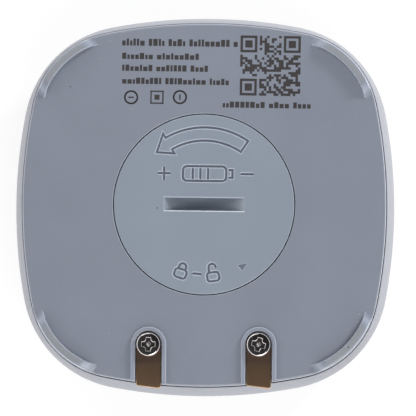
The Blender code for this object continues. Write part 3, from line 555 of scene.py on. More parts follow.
foot = {
    "width": 1.15 * mm,
    "inset": 0.12 * mm,
    "slope": 0.12 * mm,
    "halfLength": 3.4 * mm,
    "ramp": 3.1 * mm,
    "skew": 0.5 * mm,          # how much further the inner edge runs than the outer one
    "outerRound": 0.34 * mm,
    "innerRound": 0.16 * mm,
    "sink": 0.05 * mm,
    "root": 0.4 * mm,          # how deep the foot stands in the plate
    "steps": 64,
}
probe = {
    "spacing": 15.7 * mm,
    "inset": 6.0 * mm,
    "width": 3.56 * mm,
    "thickness": 0.40 * mm,
    "overhang": 0.10 * mm,
    "slant": radians(6.0),
    "corner": 0.40 * mm,
    "hole": 1.1 * mm,
    "bendStart": 2.7 * mm,
    "bendLength": 0.5 * mm,
    "rise": 0.20 * mm,
    "edgeRound": 0.16 * mm,
    "pocketDepth": 0.45 * mm,
    "pocketSide": 0.12 * mm,
    "ribWidth": 0.62 * mm,
    "ribHeight": 0.35 * mm,
    "ribRound": 0.16 * mm,
    "ribRoot": 0.5 * mm,
    "threadRadius": 1.0 * mm,
    "insertWall": 0.5 * mm,
    "insertBoss": 1.0 * mm,
    "insertHole": 1.8 * mm,
    "screwHole": 1.2 * mm,
}
well = {
    "bore": 12.6 * mm,
    "ledge": 12.45 * mm,
    "undercut": 13.25 * mm,
    "counterbore": 13.06 * mm,
    "wall": 0.9 * mm,
    "chamfer": 0.14 * mm,
    "floor": 0.8 * mm,
    "ledgeThickness": 0.8 * mm,
    "notchAngle": radians(30),
    "firstNotch": radians(110),
    "boardGap": 0.1 * mm,
    "boardBoss": 2.1 * mm,
    "boardHole": 1.0 * mm,
    "buried": 0.3 * mm,        # how far the well and the bosses run into the plate
    "contactPlay": 0.8 * mm,   # room round the side contact in its window
    "tailSlot": (0.4 * mm, 1.05 * mm, 1.6 * mm),
}
hook = {
    "width": 5.0 * mm,
    "thickness": 1.0 * mm,
    "root": 0.6 * mm,
    "length": 2.1 * mm,
    "nose": 0.75 * mm,
    "noseFlat": 0.3 * mm,
}
probeY = -(plateHalf - probe["inset"])


def footPiece(quarter):
    # one raised arc foot, swept round the corner with ramped ends
    v = foot
    bm = bmesh.new()
    sideRadius = plate["sideRadius"] - v["inset"]
    cornerRadius = plate["cornerRadius"] - v["inset"]
    side, corner, joint = arcCentres(plateHalf - v["inset"], sideRadius, cornerRadius)
    arcHalf = cornerRadius * (pi / 4 - joint)
    total = v["halfLength"] + v["ramp"] + v["skew"]
    rise = feetTop - plateTop
    rings = []
    turn = Matrix.Rotation(quarter * pi / 2, 4, "Z")
    for i in range(v["steps"] + 1):
        place = -total + 2 * total * i / v["steps"]
        length = abs(place)
        if length <= arcHalf:
            angle = pi / 4 - length / cornerRadius
            edge = Vector((corner, corner)) + cornerRadius * Vector((cos(angle), sin(angle)))
        else:
            angle = joint - (length - arcHalf) / sideRadius
            edge = Vector((side, 0)) + sideRadius * Vector((cos(angle), sin(angle)))
        outward = Vector((cos(angle), sin(angle)))
        if place > 0:
            outward = Vector((outward.y, outward.x))
            edge = Vector((edge.y, edge.x))
        across = [(drop, inset) for inset, drop in quarterRound(v["outerRound"], 5)]
        across += [(v["width"] - inset, drop) for inset, drop in quarterRound(v["innerRound"], 5)]
        section = [(0.0, plateTop - v["root"])]
        for inset, drop in across:
            fall = (length - v["halfLength"] - v["skew"] * inset / v["width"]) / v["ramp"]
            fall = min(max(fall, 0.0), 1.0)
            fall = fall * fall * (3 - 2 * fall)
            section.append((inset, plateTop + (rise - drop) * (1 - fall) - v["sink"] * fall))
        base = v["width"] + v["slope"]
        section += [(base, plateTop - v["sink"]), (base, plateTop - v["root"])]
        rings.append([bm.verts.new(turn @ Vector((*(edge - outward * d), z))) for d, z in section])
    skin(bm, rings)
    return toObject(bm, "foot")


def halfCircle(radius, x, y, steps):
    return [(x + radius * cos(pi * i / steps), y + radius * sin(pi * i / steps)) for i in range(steps + 1)]


def slotShape(halfWidth, x, y, endY):
    return halfCircle(halfWidth, x, y, 40) + [(x - halfWidth, endY), (x + halfWidth, endY)]


def ribPiece(x):
    # the raised U round a probe: its section goes up one leg, over the arch and down the other
    v = probe
    inner = v["width"] / 2 + v["pocketSide"]
    outer = inner + v["ribWidth"]
    high = plateTop + v["ribHeight"]
    low = plateTop - v["ribRoot"]
    edge = [(drop, inset) for inset, drop in quarterRound(v["ribRound"], 5)]
    section = [(inner, low)] + [(inner + across, high - down) for across, down in edge]
    section += [(outer - across, high - down) for across, down in reversed(edge)] + [(outer, low)]
    end = -plateHalf - mm
    route = [(Vector((1, 0)), Vector((x, end)))]
    route += [(Vector(direction), Vector((x, probeY))) for direction in halfCircle(1, 0, 0, 40)]
    route += [(Vector((-1, 0)), Vector((x, end)))]
    bm = bmesh.new()
    skin(bm, [[bm.verts.new((*(centre + d * r), z)) for r, z in section] for d, centre in route])
    return toObject(bm, "rib")


def roundPost(radius, low, high, x=0.0, y=0.0, steps=48):
    return turned("post", [(0, high), (radius, high), (radius, low), (0, low)], steps, (x, y, 0))


def ringSector(inner, outer, low, high, middle, spread):
    angles = [middle + spread * (i / 16 - 0.5) for i in range(17)]
    points = [(outer * cos(a), outer * sin(a)) for a in angles]
    points += [(inner * cos(a), inner * sin(a)) for a in reversed(angles)]
    return prism("sector", points, low, high)


def blockPiece(size, centre, turn=0.0):
    bm = bmesh.new()
    bmesh.ops.create_cube(bm, size=1.0, matrix=Matrix.Translation(centre) @ Matrix.Rotation(turn, 4, "Z")
                          @ Matrix.Diagonal((*size, 1)))
    return toObject(bm, "block")


def makeBackShell():
    v = plate
    rings = [(plateOutline(inset), plateTop - drop) for inset, drop in quarterRound(v["edgeRound"], 8)]
    skirt = v["skirtInset"]
    skirtInner = skirt + v["skirtThickness"]
    groove = skirt + v["grooveDepth"]
    grooveTop = plateBottom - v["grooveDrop"]
    grooveBottom = grooveTop - v["grooveWidth"]
    for inset, height in ((0, plateBottom), (skirt, plateBottom), (skirt, grooveTop), (groove, grooveTop),
                          (groove, grooveBottom), (skirt, grooveBottom), (skirt, skirtBottom),
                          (skirtInner, skirtBottom), (skirtInner, plateBottom)):
        rings.append((plateOutline(inset), height))
    obj = loft("backShell", rings)

    # feet, well, bosses and snap hooks
    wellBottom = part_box("circuit_board")[1].z + well["boardGap"]
    wellOutside = well["undercut"] + well["wall"]
    bossTop = plateBottom + well["buried"]
    insertLow, insertHigh = (corner.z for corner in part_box("left_probe_insert"))
    bossRadius = probe["threadRadius"] + probe["insertWall"] + probe["insertBoss"]
    probePlaces = [side * probe["spacing"] / 2 for side in (-1, 1)]
    boardScrews = ["board_screw_%d" % i for i in range(1, 5)]
    posts = [footPiece(quarter) for quarter in range(4)]
    posts.append(roundPost(wellOutside, wellBottom, bossTop, steps=96))
    for node in boardScrews:
        middle = middleOf(node)
        posts.append(roundPost(well["boardBoss"], wellBottom, bossTop, middle.x, middle.y))
    for x in probePlaces:
        posts.append(roundPost(bossRadius, insertLow, bossTop, x, probeY))
    arm = plateHalf - shell["hookFaceInset"]
    back = arm - hook["thickness"]
    root = skirtBottom + hook["root"]
    nose = skirtBottom - 2 * shell["snapGap"] - shell["catchHeight"]
    low = skirtBottom - hook["length"]
    outline = [(back, root), (arm, root), (arm, nose), (arm + hook["nose"], nose),
               (arm + hook["nose"], nose - hook["noseFlat"]), (arm, low), (back, low)]
    posts += [barProfile("hook", outline, hook["width"], side * pi / 2) for side in range(4)]
    combine(obj, posts, "UNION")

    # the ribs end with the plate's edge
    above = plateTop + 2 * mm
    edge = plateOutline(v["edgeRound"] * 0.5)
    ribs = [combine(ribPiece(x), [prism("limit", edge, plateTop - mm, above)], "INTERSECT")
            for x in probePlaces]
    combine(obj, ribs, "UNION")

    # the cell's well with its chamfered mouth, and the undercut that the cover's lugs turn in
    lugBottom, ledgeTop = lowCover.z - 0.2 * mm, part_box("battery_cover_seal")[0].z - 0.1 * mm
    ledgeBottom = ledgeTop - well["ledgeThickness"]
    floorTop = wellBottom + well["floor"]
    mouth = well["counterbore"] + well["chamfer"]
    outline = [(0, above), (mouth, above), (mouth, plateTop + 0.001 * mm)]
    for k in range(1, 5):
        a = pi / 2 * k / 4
        outline.append((mouth - well["chamfer"] * sin(a), plateTop - well["chamfer"] * (1 - cos(a))))
    outline += [(well["counterbore"], ledgeTop), (well["ledge"], ledgeTop), (well["ledge"], ledgeBottom),
                (well["undercut"], ledgeBottom), (well["undercut"], lugBottom), (well["bore"], lugBottom),
                (well["bore"], floorTop), (0, floorTop)]
    tools = [turned("cavity", outline, 144)]
    for i in range(3):
        tools.append(ringSector(well["ledge"] - 0.3 * mm, well["undercut"] + 0.02 * mm,
                                ledgeBottom - 0.1 * mm, ledgeTop + 0.1 * mm,
                                well["firstNotch"] + i * 2 * pi / 3, well["notchAngle"]))
    for node in boardScrews:
        middle = middleOf(node)
        tools.append(roundPost(well["boardHole"], wellBottom - 0.5 * mm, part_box(node)[1].z + 0.5 * mm,
                               middle.x, middle.y, 32))
    pocket = probe["width"] / 2 + probe["pocketSide"] + 0.01 * mm
    for x in probePlaces:
        tools.append(prism("pocket", slotShape(pocket, x, probeY, -plateHalf - mm),
                           plateTop - probe["pocketDepth"], above))
        tools.append(roundPost(probe["screwHole"], insertLow - 0.5 * mm, plateTop, x, probeY, 32))
        tools.append(roundPost(probe["insertHole"], insertLow - 0.5 * mm, insertHigh + 0.1 * mm,
                               x, probeY, 32))
    # a window for the side contact and a slot for the other one's tail
    contactLow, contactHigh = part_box("positive_contact")
    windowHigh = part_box("coin_cell")[1].z - 0.8 * mm
    windowLow = wellBottom - 0.5 * mm
    tools.append(blockPiece((wellOutside - well["bore"] + 1.6 * mm,
                             contactHigh.y - contactLow.y + well["contactPlay"], windowHigh - windowLow),
                            ((wellOutside + well["bore"]) / 2, 0, (windowLow + windowHigh) / 2)))
    tailLow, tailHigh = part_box("negative_contact")
    play, deep, tall = well["tailSlot"]
    tools.append(blockPiece((tailHigh.x - tailLow.x + play, deep, tall),
                            (0, tailHigh.y - 0.125 * mm, floorTop - 0.4 * mm)))
    combine(obj, tools, "DIFFERENCE")
    finishPiece(obj, greyPlastic, housing, "grey_plastic", "back_cover")
    obj.data.materials.append(footPlastic)
    outside = plateHalf / 2 - 2 * mm          # the feet alone stand outside this square on both axes
    for face in obj.data.polygons:
        x, y, z = face.center
        if z > plateTop + 0.01 * mm and min(abs(x), abs(y)) > outside:
            face.material_index = 1
    return obj


makeBackShell()
print("back shell made")


# Battery cover: disc with the coin slot and its engraved signs

cover = {
    "lean": radians(-0.7),
    "edgeGap": 0.145 * mm,
    "chamfer": 0.15 * mm,
    "slotLength": 11.7 * mm,
    "slotWidth": 1.82 * mm,
    "coinRadius": 9.8 * mm,
    "slotEdge": 0.2 * mm,
    "slotEndEdge": 0.04 * mm,
    "slotCorner": 0.12 * mm,
    "stroke": 0.32 * mm,
    "lip": 0.14 * mm,
    "lipDrop": 0.05 * mm,
    "engraving": 0.16 * mm,
    "markDepth": 0.1 * mm,
    "mark": ((4.8, -8.75), (6.1, -8.45), (5.5, -9.5)),   # the solid triangle, in mm
    "spigotWall": 0.95 * mm,
    "lugReach": 0.95 * mm,
    "lugSpread": radians(22),
    "firstLug": radians(70),
    "play": 0.1 * mm,
    "sealThickness": 0.7 * mm,
    "troughWall": 1.0 * mm,      # plastic round the coin slot, under the disc
    "troughDepth": 0.8 * mm,
}
signs = {
    "arrowRadii": (9.15, 10.1, 11.05),      # inner edge, tip and outer edge, in mm
    "arrowHead": (8.45, 11.75),
    "arrowAngles": (56.0, 121.0, 133.0),    # tail, neck and tip, in degrees
    "cell": (0.0, 4.4, 6.2, 2.1, 0.55),
    # the cell's cap, then its plus and minus, then three bars inside it
    "cellStrokes": [[(3.55, 3.85), (4.0, 3.85), (4.0, 4.95), (3.55, 4.95)],
                    [(-6.6, 4.4), (-5.0, 4.4)], [(-5.8, 3.6), (-5.8, 4.3)], [(-5.8, 4.5), (-5.8, 5.2)],
                    [(5.3, 4.4), (6.9, 4.4)],
                    [(-1.7, 3.75), (-1.7, 5.05)], [(-0.6, 3.75), (-0.6, 5.05)], [(0.5, 3.75), (0.5, 5.05)]],
    "padlocks": [(-108.0, 0.0), (-82.0, 0.35)],   # angle, and how far the shackle is lifted
    "padlockRadius": 10.0,
    "padlockBody": (0.0, -0.45, 1.7, 1.25, 0.4),
    "shackle": (0.5, 0.3, 0.55),                  # half width, foot and bend
    "padlockArc": (93.0, 87.0, -95.0),
}


def strokePiece(points, width, closed=False):
    # a groove cutter along a path in mm: steep walls below, a soft lip at the surface
    v = cover
    path = [Vector(p) * mm for p in points]
    half = width / 2
    right = [(half * 0.75, -v["engraving"]), (half, -v["lipDrop"]), (half + v["lip"], 0.0),
             (half + v["lip"], 0.02 * mm)]
    section = [(-across, down) for across, down in reversed(right)] + right
    count = len(path)
    frames = []
    for i, point in enumerate(path):
        before = path[i - 1] if i or closed else None
        after = path[(i + 1) % count] if i < count - 1 or closed else None
        a = (point - before).normalized() if before is not None else (after - point).normalized()
        b = (after - point).normalized() if after is not None else a
        tangent = (a + b).normalized()
        normal = Vector((-tangent.y, tangent.x))
        mitre = 1 / max(0.5, normal.dot(Vector((-a.y, a.x))))
        frames.append((point, tangent, normal, mitre, 1.0))
    if not closed:
        start, end = frames[0], frames[-1]
        caps = [(0.98, 0.2), (0.85, 0.55), (0.55, 0.85)]    # a rounded end: (how far out, how wide)
        first = [(start[0] - start[1] * half * out, start[1], start[2], 1.0, scale) for out, scale in caps]
        last = [(end[0] + end[1] * half * out, end[1], end[2], 1.0, scale) for out, scale in reversed(caps)]
        frames = first + frames + last
    bm = bmesh.new()
    rings = []
    for point, tangent, normal, mitre, scale in frames:
        rings.append([bm.verts.new((*(point + normal * across * mitre * scale), plateTop + down))
                      for across, down in section])
    skin(bm, rings, closed)
    return toObject(bm, "stroke")


def arcPath(cx, cy, radius, first, last, steps=12):
    return [(cx + radius * cos(radians(first + (last - first) * i / steps)),
             cy + radius * sin(radians(first + (last - first) * i / steps))) for i in range(steps + 1)]


def roundedBox(cx, cy, width, height, radius, turn=0.0):
    points = []
    for qx, qy, first in ((1, 1, 0), (-1, 1, 90), (-1, -1, 180), (1, -1, 270)):
        x, y = cx + qx * (width / 2 - radius), cy + qy * (height / 2 - radius)
        points += arcPath(x, y, radius, first, first + 90, 5)
    spin = Matrix.Rotation(turn, 2)
    centre = Vector((cx, cy))
    return [tuple(centre + spin @ (Vector(p) - centre)) for p in points]


def onArc(points, radius, angle):
    # moves a small sign drawn about (0, 0) to a place on a circle, with its foot outwards
    spin = Matrix.Rotation(radians(angle) + pi / 2, 2)
    centre = Vector((radius * cos(radians(angle)), radius * sin(radians(angle))))
    return [tuple(centre + spin @ Vector(p)) for p in points]


def engravedSigns():
    # a turn arrow, a cell with its poles, and two padlocks, each a (path, closed)
    v = signs
    inner, mid, outer = v["arrowRadii"]
    headIn, headOut = v["arrowHead"]
    tail, neck, tip = v["arrowAngles"]
    arrow = arcPath(0, 0, outer, tail, neck, 24)
    arrow += [(radius * cos(radians(angle)), radius * sin(radians(angle)))
              for radius, angle in ((headOut, neck), (mid, tip), (headIn, neck))]
    arrow += arcPath(0, 0, inner, neck, tail, 24)
    paths = [(arrow, True), (roundedBox(*v["cell"]), True)]
    paths += [(stroke, False) for stroke in v["cellStrokes"]]
    # padlocks at the foot: shut on the left, open on the right
    radius = v["padlockRadius"]
    reach, footing, bend = v["shackle"]
    for angle, lift in v["padlocks"]:
        paths.append((onArc(roundedBox(*v["padlockBody"]), radius, angle), True))
        shackle = [(-reach, footing + lift * 0.2)] + arcPath(0.0, bend + lift, reach, 180.0, 0.0, 8)
        if not lift:
            shackle.append((reach, footing))
        paths.append((onArc(shackle, radius, angle), False))
    first, last, angle = v["padlockArc"]
    paths.append((onArc(arcPath(0.0, -radius, radius, first, last, 4), radius, angle), False))
    return paths


def makeCoverDisc():
    v = cover
    sealLow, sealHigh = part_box("battery_cover_seal")
    discBottom = sealHigh.z + v["play"]
    radius = well["counterbore"] - v["edgeGap"]
    spigot = sealHigh.x - v["sealThickness"] - v["play"]
    spigotInner = spigot - v["spigotWall"]
    low = lowCover.z
    outline = [(0, plateTop)]
    outline += [(radius - inset, plateTop - drop) for inset, drop in quarterRound(v["chamfer"], 6)]
    outline += [(radius, discBottom), (spigot, discBottom), (spigot, low), (spigotInner, low),
                (spigotInner, discBottom), (0, discBottom)]
    obj = turned("coverDisc", outline, 144)

    # bayonet lugs, and the trough that closes the coin slot below
    lugHigh = sealLow.z - v["play"] - well["ledgeThickness"] - 2 * v["play"]
    adds = [ringSector(spigot - v["spigotWall"] / 2, spigot + v["lugReach"], low + v["play"], lugHigh,
                       v["firstLug"] + i * 2 * pi / 3, v["lugSpread"]) for i in range(3)]
    depth = v["coinRadius"] - sqrt(v["coinRadius"] ** 2 - (v["slotLength"] / 2) ** 2)
    troughLow, troughHigh = plateTop - depth - v["troughWall"], discBottom + v["troughDepth"]
    adds.append(blockPiece((v["slotLength"] + 2 * v["troughWall"], v["slotWidth"] + 2 * v["troughWall"],
                            troughHigh - troughLow), (0, 0, (troughLow + troughHigh) / 2), v["lean"]))
    combine(obj, adds, "UNION")

    # the slot: a coin sunk on edge, then a soft lip round its mouth
    edge = v["slotEdge"]
    half = v["slotWidth"] / 2
    lean = Matrix.Rotation(v["lean"], 4, "Z")
    disc = turned("coin", [(0, half), (v["coinRadius"], half), (v["coinRadius"], -half), (0, -half)], 180)
    disc.data.transform(Matrix.Translation((0, 0, plateTop + v["coinRadius"] - depth))
                        @ lean @ Matrix.Rotation(pi / 2, 4, "X"))
    lip = []
    for k in range(6):
        a = pi / 2 * k / 5
        grow = edge * (1 - sin(a))
        drop = edge * (1 - cos(a))
        chord = sqrt(v["coinRadius"] ** 2 - (v["coinRadius"] - depth + drop) ** 2)
        endGrow = v["slotEndEdge"] * (1 - sin(a)) - 0.01 * mm * sin(a)
        box = roundedBox(0, 0, 2 * (chord + endGrow) / mm, (v["slotWidth"] + 2 * grow) / mm,
                         (v["slotCorner"] + grow) / mm, v["lean"])
        lip.append(([(x * mm, y * mm) for x, y in box], plateTop - drop))
    softLip = loft("lip", [(lip[0][0], plateTop + 0.02 * mm)] + lip)
    combine(obj, [disc, softLip], "DIFFERENCE")

    grooves = [strokePiece(points, v["stroke"], closed) for points, closed in engravedSigns()]
    for groove in grooves:
        groove.data.transform(lean)
    combine(obj, grooves, "DIFFERENCE")
    # the small solid triangle that marks the open place
    mark = [Vector(p) * mm for p in v["mark"]]
    centre = sum(mark, Vector((0, 0))) / 3
    lipped = [centre + (p - centre) * 1.18 for p in mark]
    inset = [centre + (p - centre) * 0.9 for p in mark]
    rings = [(lipped, plateTop + 0.02 * mm), (lipped, plateTop), (mark, plateTop - v["lipDrop"]),
             (inset, plateTop - v["markDepth"])]
    combine(obj, [loft("mark", rings)], "DIFFERENCE")
    finishPiece(obj, coverPlastic, turning, "light_grey_plastic", "battery_cover", sharp=24)
    # the cover's faces take dirt with painted shade in the grooves, and painted highlights on the lips
    dirtAndShade, paintedLip, lowerLipHighlight = 1, 2, 3
    for material in (groovePlastic, lipPlastic, slotHighlightPlastic):
        obj.data.materials.append(material)
    skip = 0.002 * mm
    for face in obj.data.polygons:
        drop = plateTop - face.center.z
        beside = abs(face.center.y) > half + edge + 0.1 * mm
        alongSlot = abs(face.center.x) < v["slotLength"] / 2 and abs(face.normal.y) > abs(face.normal.x)
        if beside and Vector(face.center[:2]).length < radius - v["chamfer"] - 0.3 * mm:
            if v["lipDrop"] + skip < drop < v["engraving"] + 0.01 * mm:
                face.material_index = dirtAndShade
            elif skip < drop < v["lipDrop"] - skip:
                face.material_index = paintedLip
        elif not beside and alongSlot and skip < drop < edge and face.normal.z > 0.1:
            # painted highlights on both long edges of the slot, the palest on the lower one
            face.material_index = lowerLipHighlight if face.center.y < 0 else paintedLip
    # the flat face keeps its own even shading up to every edge round it
    flatSides = {}
    for face in obj.data.polygons:
        for key in face.edge_keys:
            flatSides.setdefault(key, []).append(face.normal.z > 0.99999)
    for line in obj.data.edges:
        if len(set(flatSides.get(line.key, []))) == 2:
            line.use_edge_sharp = True
    return obj


makeCoverDisc()
print("battery cover made")


# Probe strips: gilt sheet with rolled edges, bent up a little towards a slanted free end

def stripOutline(inset):
    v = probe
    half = v["width"] / 2 - inset
    end = -plateHalf - v["overhang"] + inset
    tip = half * tan(v["slant"])
    corner = max(v["corner"] - inset, 0.05 * mm)
    points = halfCircle(half, 0, probeY, 36)
    for cx, cy, first in ((corner - half, end + tip, pi), (half - corner, end - tip, 3 * pi / 2)):
        for i in range(9):
            a = first + pi / 2 * i / 8
            points.append((cx + corner * cos(a), cy + corner + corner * sin(a)))
    return points


def makeProbe(name, node, side):
    # a flat blank with rolled edges and a hole, bent up from below the screw to the free end
    v = probe
    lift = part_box(node)[0].z
    thick = v["thickness"]
    r = v["edgeRound"]
    rings = [(stripOutline(inset), thick - drop) for inset, drop in quarterRound(r, 4)]
    rings.append((stripOutline(0), r * 0.4))
    rings.append((stripOutline(r * 0.4), 0.0))
    obj = loft(name, rings)
    combine(obj, [roundPost(v["hole"], -mm, mm * 2, 0, probeY, 48)], "DIFFERENCE")
    bm = bmesh.new()
    bm.from_mesh(obj.data)
    start = probeY - v["bendStart"]
    reach = start + plateHalf + v["overhang"]
    soft = v["bendLength"]
    for i in range(9):
        bmesh.ops.bisect_plane(bm, geom=bm.verts[:] + bm.edges[:] + bm.faces[:], dist=1e-8,
                               plane_co=(0, start + soft * (0.5 - i / 8), 0), plane_no=(0, 1, 0))
    for vert in bm.verts:
        past = start - vert.co.y
        bent = min(max(past + soft / 2, 0.0), soft) ** 2 / (2 * soft) + max(past - soft / 2, 0.0)
        vert.co.z += lift + v["rise"] * bent / reach
        vert.co.x += side * v["spacing"] / 2
    bm.to_mesh(obj.data)
    bm.free()
    return finishPiece(obj, giltBrass, housing, "gilt_brass", node)


makeProbe("leftStrip", "left_probe", -1)
makeProbe("rightStrip", "right_probe", 1)
print("probe strips made")


# Screws: nickel-plated pan heads with a pressed cross recess

screws = {
    "headSteps": 96,
    "recessReach": 0.56,     # arm's half length as a share of the head's radius
    "recessWidth": 0.19,
    "recessDepth": 0.50 * mm,
    "recessLip": (0.045 * mm, 0.04 * mm),
    "recessCorner": 1.4,     # rounding between the arms as a share of the arm's half width
    "star": 0.17 * mm,
    "starReach": 0.4,
    "flatShare": 0.85,
    "boardHead": 0.8 * mm,
    "pitch": 0.4 * mm,
    "threadRoot": 0.82,      # radius between two threads as a share of the thread's
    "turns": {"left_probe_screw": -1, "right_probe_screw": -14, "board": 20},
}


def crossOutline(reach, width, corner):
    # outline of a cross with rounded inner corners, the shape a cross driver leaves
    points = []
    for quarter in range(4):
        turn = Matrix.Rotation(quarter * pi / 2, 2)
        local = [(reach, -width), (reach, width)]
        for i in range(5):
            a = pi / 2 * i / 4
            local.append((width + corner - corner * sin(a), width + corner - corner * cos(a)))
        points += [turn @ Vector(p) for p in local]
    return points


def roundOutline(radius, reach, width):
    # a circle with a point for each of the cross outline's
    return [Vector(p).normalized() * radius for p in crossOutline(reach, width, width)]


def makeScrew(name, node, threadRadius, headUp=True, turnDegrees=0.0):
    low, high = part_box(node)
    middle = (low + high) / 2
    headRadius = (high.x - low.x) / 2
    length = high.z - low.z
    head = high.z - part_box("left_probe")[0].z - probe["thickness"] if headUp else screws["boardHead"]
    flat = screws["flatShare"]
    edge = headRadius * (1 - flat)
    outline = [(0, length), (headRadius * flat, length)]
    for k in range(1, 13):
        a = pi / 2 * k / 12
        outline.append((headRadius * (flat + (1 - flat) * sin(a)), length - edge * (1 - cos(a))))
    outline += [(headRadius, length - head + 0.05 * mm), (headRadius - 0.05 * mm, length - head),
                (threadRadius, length - head)]
    pitch = screws["pitch"]
    z = length - head - 0.3 * mm
    while z - pitch > 0.5 * mm:
        outline += [(threadRadius, z), (threadRadius * screws["threadRoot"], z - pitch / 2)]
        z -= pitch
    outline += [(threadRadius, z), (threadRadius * 0.6, 0), (0, 0)]
    obj = turned(name, outline, screws["headSteps"])
    reach = headRadius * screws["recessReach"]
    width = headRadius * screws["recessWidth"]
    depth = screws["recessDepth"]
    lip, lipDrop = screws["recessLip"]
    star = screws["star"]
    corner = width * screws["recessCorner"]
    rings = [(crossOutline(reach + lip, width + lip, corner), length + 0.05 * mm),
             (crossOutline(reach + lip, width + lip, corner), length),
             (crossOutline(reach, width, corner), length - lipDrop),
             (crossOutline(reach * 0.9, width * 0.85, corner * 0.8), length - depth),
             (roundOutline(reach * screws["starReach"], reach, width), length - depth),
             (roundOutline(reach * 0.08, reach, width), length - depth + star)]
    combine(obj, [loft("cross", rings)], "DIFFERENCE")
    shaded = []      # the faces down in the recess
    for face in obj.data.polygons:
        out = Vector(face.center[:2]).length
        level = face.center.z - length + depth
        walls = star < level < depth - lipDrop - 0.01 * mm and out < reach + lip
        ground = abs(level) < 0.01 * mm and out < reach
        if walls or ground:
            shaded.append(face.index)
    place = Matrix.Translation((middle.x, middle.y, low.z))
    if not headUp:
        place = place @ Matrix.Translation((0, 0, length)) @ Matrix.Rotation(pi, 4, "X")
    obj.data.transform(place @ Matrix.Rotation(radians(turnDegrees), 4, "Z"))
    finishPiece(obj, nickelSteel, housing, "steel", node, sharp=24)
    # the faces down in the recess take the darker plating, a painted shade
    obj.data.materials.append(recessSteel)
    for index in shaded:
        obj.data.polygons[index].material_index = 1
    return obj


for name, node in (("leftScrew", "left_probe_screw"), ("rightScrew", "right_probe_screw")):
    makeScrew(name, node, probe["threadRadius"], turnDegrees=screws["turns"][node])
for i in range(1, 5):
    makeScrew("boardScrew%d" % i, "board_screw_%d" % i, 0.8 * mm, False, screws["turns"]["board"] * i)
print("screws made")


# Springs and aerial: coils swept by Geometry Nodes

coils = {
    "springTurns": 4.0,
    "springRadius": 1.1 * mm,
    "springWire": 0.18 * mm,      # radius of the wire
    "aerialTurns": 6.0,
    "aerialWire": 0.25 * mm,
    "aerialLead": 1.2 * mm,
    "stepsPerTurn": 28,
    "wireSides": 10,
}


def geometryTree(name, *sizes):
    # a new Geometry Nodes tree with a mesh and named sizes coming in, and what they give
    tree = bpy.data.node_groups.new(name, "GeometryNodeTree")
    tree.interface.new_socket("Geometry", in_out="INPUT", socket_type="NodeSocketGeometry")
    for label in sizes:
        tree.interface.new_socket(label, in_out="INPUT", socket_type="NodeSocketFloat")
    tree.interface.new_socket("Geometry", in_out="OUTPUT", socket_type="NodeSocketGeometry")
    return tree, addNode(tree, "NodeGroupInput").outputs


def endTree(tree, made, material):
    whole = addNode(tree, "GeometryNodeRealizeInstances", links={0: made})
    dressed = addNode(tree, "GeometryNodeSetMaterial", {"Material": material}, {0: whole.outputs[0]})
    tree.links.new(dressed.outputs[0], addNode(tree, "NodeGroupOutput").inputs[0])


def runTree(obj, tree, sizes):
    # gives the tree its sizes and leaves the plain mesh that it makes
    modifier = obj.modifiers.new("tree", "NODES")
    modifier.node_group = tree
    for item in tree.interface.items_tree:
        if item.in_out == "INPUT" and item.name in sizes:
            modifier[item.identifier] = float(sizes[item.name])
    return bakeModifiers(obj)


def coilPiece(name, node, sizes, place, material):
    # a spiral swept with a round wire; the tree's inputs are the coil's sizes
    tree, inputs = geometryTree(name + "Tree", *sizes)
    spiral = addNode(tree, "GeometryNodeCurveSpiral", {"Resolution": coils["stepsPerTurn"]},
                     {"Rotations": inputs["Turns"], "Start Radius": inputs["Radius"],
                      "End Radius": inputs["Radius"], "Height": inputs["Height"]})
    section = addNode(tree, "GeometryNodeCurvePrimitiveCircle", {"Resolution": coils["wireSides"]},
                      {"Radius": inputs["Wire"]})
    swept = addNode(tree, "GeometryNodeCurveToMesh", {"Fill Caps": True},
                    {"Curve": spiral.outputs[0], "Profile Curve": section.outputs[0]})
    smooth = addNode(tree, "GeometryNodeSetShadeSmooth", links={"Geometry": swept.outputs[0]})
    endTree(tree, smooth.outputs[0], material)
    obj = runTree(newObject(name, bpy.data.meshes.new(name)), tree, sizes)
    obj.data.transform(place)
    obj.data.materials.clear()
    obj.data.materials.append(material)
    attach(obj, housing)
    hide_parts(node)
    return obj


for name, node in (("leftSpring", "left_probe_spring"), ("rightSpring", "right_probe_spring")):
    low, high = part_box(node)
    wire = coils["springWire"]
    sizes = {"Turns": coils["springTurns"], "Radius": coils["springRadius"],
             "Height": high.z - low.z - 2 * wire, "Wire": wire}
    place = Matrix.Translation(((low.x + high.x) / 2, (low.y + high.y) / 2, low.z + wire))
    coilPiece(name, node, sizes, place, springSteel)
low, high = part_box("aerial")
wire = coils["aerialWire"]
sizes = {"Turns": coils["aerialTurns"], "Radius": (high.x - low.x) / 2 - wire,
         "Height": high.y - low.y - coils["aerialLead"] - 2 * wire, "Wire": wire}
place = (Matrix.Translation(((low.x + high.x) / 2, high.y - wire, (low.z + high.z) / 2))
         @ Matrix.Rotation(pi / 2, 4, "X"))
coilPiece("aerialCoil", "aerial", sizes, place, plainBrass)
print("springs and aerial made")


# Print on the plate: rows of small dark marks, three plain signs and a block pattern

